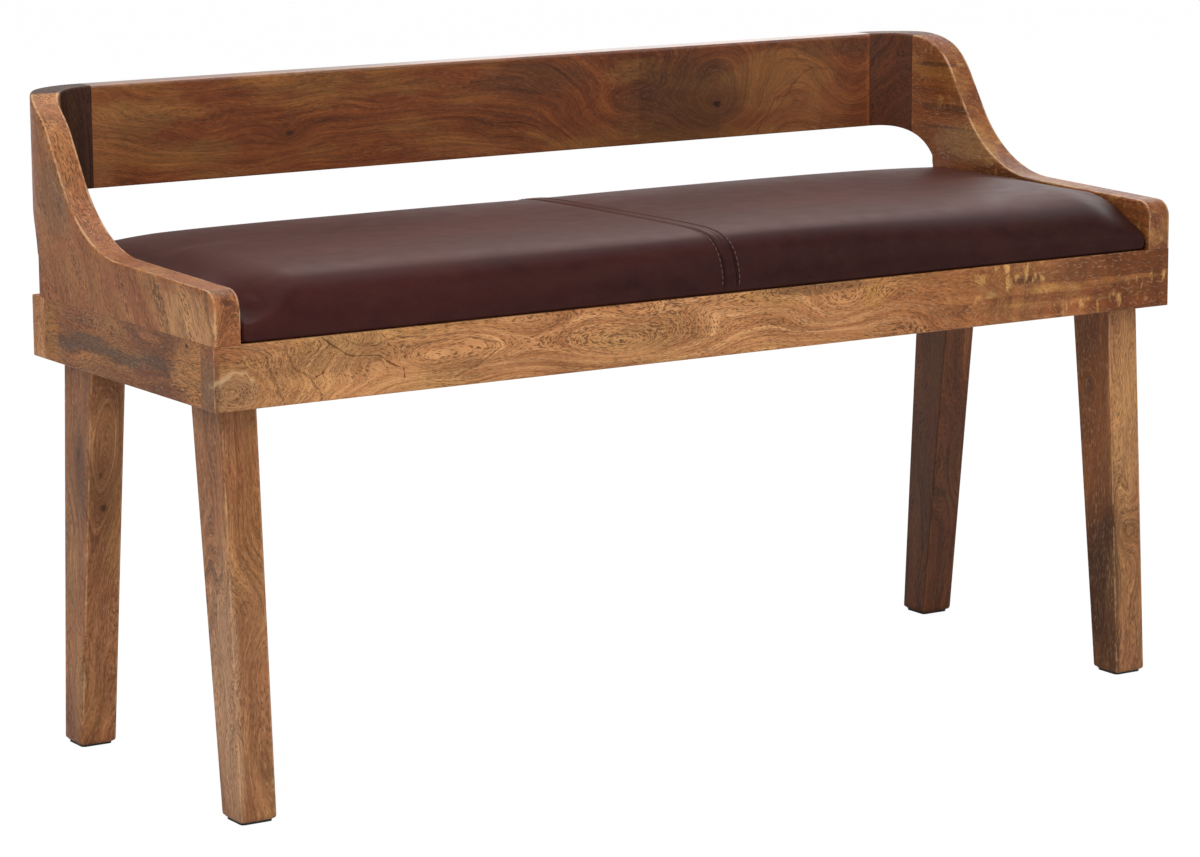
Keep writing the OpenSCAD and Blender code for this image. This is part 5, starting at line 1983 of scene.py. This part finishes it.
@dataclass
class Studio:
    """The camera, the lamps, the floor and the white surroundings."""

    eye: Point = (-2.13606, -3.34533, 1.00959)
    yaw: float = 32.498
    pitch: float = 10.584
    roll: float = -0.324
    lens: float = 125.961
    floor_reach: float = 9.0
    surround: float = 0.42
    sheen_turn: float = 14.0
    sheen_rise: float = 36.0
    lamps: tuple[tuple[str, Point, float, float], ...] = (
        ("key", (-2.6, -2.2, 2.8), 1.8, 66.0), ("fill", (2.2, -3.0, 1.6), 2.0, 24.0),
        ("top", (0.0, 0.1, 3.0), 2.4, 44.0), ("rear", (2.4, 2.3, 2.0), 2.6, 22.0))

    def ahead(self) -> Point:
        """Level direction in which the camera looks, to the backdrop."""
        return (math.sin(math.radians(self.yaw)), math.cos(math.radians(self.yaw)), 0.0)

    def sheen(self) -> Point:
        """Direction of the middle of the bright backdrop that the leather reflects."""
        turn, rise = (math.radians(v) for v in (self.yaw + self.sheen_turn, self.sheen_rise))
        return (math.sin(turn) * math.cos(rise), math.cos(turn) * math.cos(rise), math.sin(rise))

    def camera(self) -> None:
        """Sets the camera as it was solved from the bench's own edges."""
        yaw, pitch, roll = (math.radians(v) for v in (self.yaw, self.pitch, self.roll))
        ahead = Vector((math.sin(yaw) * math.cos(pitch), math.cos(yaw) * math.cos(pitch),
                        -math.sin(pitch)))
        side = Vector((math.cos(yaw), -math.sin(yaw), 0.0))
        up = side.cross(ahead)
        right = side * math.cos(roll) + up * math.sin(roll)
        top = up * math.cos(roll) - side * math.sin(roll)
        data = bpy.data.cameras.new("camera")
        data.lens, data.sensor_width = self.lens, 36.0
        data.clip_start, data.clip_end = 0.1, 100.0
        made = put("camera", data)
        made.matrix_world = Matrix((
            (right.x, top.x, -ahead.x, self.eye[0]), (right.y, top.y, -ahead.y, self.eye[1]),
            (right.z, top.z, -ahead.z, self.eye[2]), (0.0, 0.0, 0.0, 1.0)))
        bpy.context.scene.camera = made

    def lamp(self, name: str, at: Point, size: float, power: float) -> None:
        """Adds a soft square lamp that points at the bench."""
        data = bpy.data.lights.new(name, "AREA")
        data.size, data.energy = size, power
        made = put(name, data)
        made.location = at
        made.rotation_mode = "QUATERNION"
        made.rotation_quaternion = (Vector((0.0, 0.0, 0.4)) - Vector(at)).to_track_quat("-Z", "Y")

    @staticmethod
    def shown(net: Net, behind: Value) -> Socket:
        """Where white is shown: to the camera, and in reflections of the part behind."""
        path = net.node("ShaderNodeLightPath").outputs
        mirrored = net.math("MAXIMUM", path["Is Glossy Ray"], path["Is Transmission Ray"])
        return net.math("MAXIMUM", path["Is Camera Ray"], net.times(behind, mirrored))

    def floor(self) -> None:
        """A pale floor that shows white to the camera and keeps the bench's shadow."""
        reach = self.floor_reach
        mesh = bpy.data.meshes.new("floor")
        mesh.from_pydata([(-reach, -reach, 0.0), (reach, -reach, 0.0), (reach, reach, 0.0),
                          (-reach, reach, 0.0)], [], [[0, 1, 2, 3]])
        made = put("floor", mesh)
        material = bpy.data.materials.new("pale_floor")
        net = cleared(material)
        plain = net.node("ShaderNodeBsdfDiffuse")
        net.wired(plain, Color=(0.82, 0.82, 0.82, 1.0))
        glow = net.node("ShaderNodeEmission")
        net.wired(glow, Strength=1.05)
        place = net.node("ShaderNodeTexCoord").outputs["Object"]
        behind = net.span(net.vector("DOT_PRODUCT", place, self.ahead()), 0.5, 2.5)
        blend = net.node("ShaderNodeMixShader")
        net.feed(blend.inputs[0], net.times(self.shown(net, behind), 0.92))
        net.feed(blend.inputs[1], plain.outputs[0])
        net.feed(blend.inputs[2], glow.outputs[0])
        net.feed(net.node("ShaderNodeOutputMaterial").inputs["Surface"], blend.outputs[0])
        mesh.materials.append(material)

    def world(self) -> None:
        """White to the camera and in reflections, and a soft light for everything else."""
        bpy.context.scene.world = bpy.data.worlds.new("surroundings")
        net = cleared(bpy.context.scene.world)
        sight = net.node("ShaderNodeTexCoord").outputs["Generated"]
        behind = net.span(net.vector("DOT_PRODUCT", sight, self.sheen()), 0.78, 0.97)
        seen = self.shown(net, behind)
        back = net.node("ShaderNodeBackground")
        net.wired(back, Color=(1.0, 1.0, 1.0, 1.0),
                  Strength=net.span(seen, 0.0, 1.0, self.surround, 1.0, smooth=False))
        net.feed(net.node("ShaderNodeOutputWorld").inputs["Surface"], back.outputs[0])

    def make(self) -> None:
        """Sets up the whole studio."""
        self.camera()
        self.floor()
        self.world()
        for lamp in self.lamps:
            self.lamp(*lamp)
        bpy.context.scene.view_settings.view_transform = "Standard"


def main() -> None:
    """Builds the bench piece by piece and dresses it."""
    logging.basicConfig(level=logging.INFO, format="%(name)s %(message)s")
    Studio().make()
    fx = Effects()
    for part in (Apron(), Surround(), Legs(), SeatPad(), Hidden()):
        part.make(fx)
        LOG.info("made %s", type(part).__name__)
    bpy.context.view_layer.update()


if __name__ == "__main__":
    main()
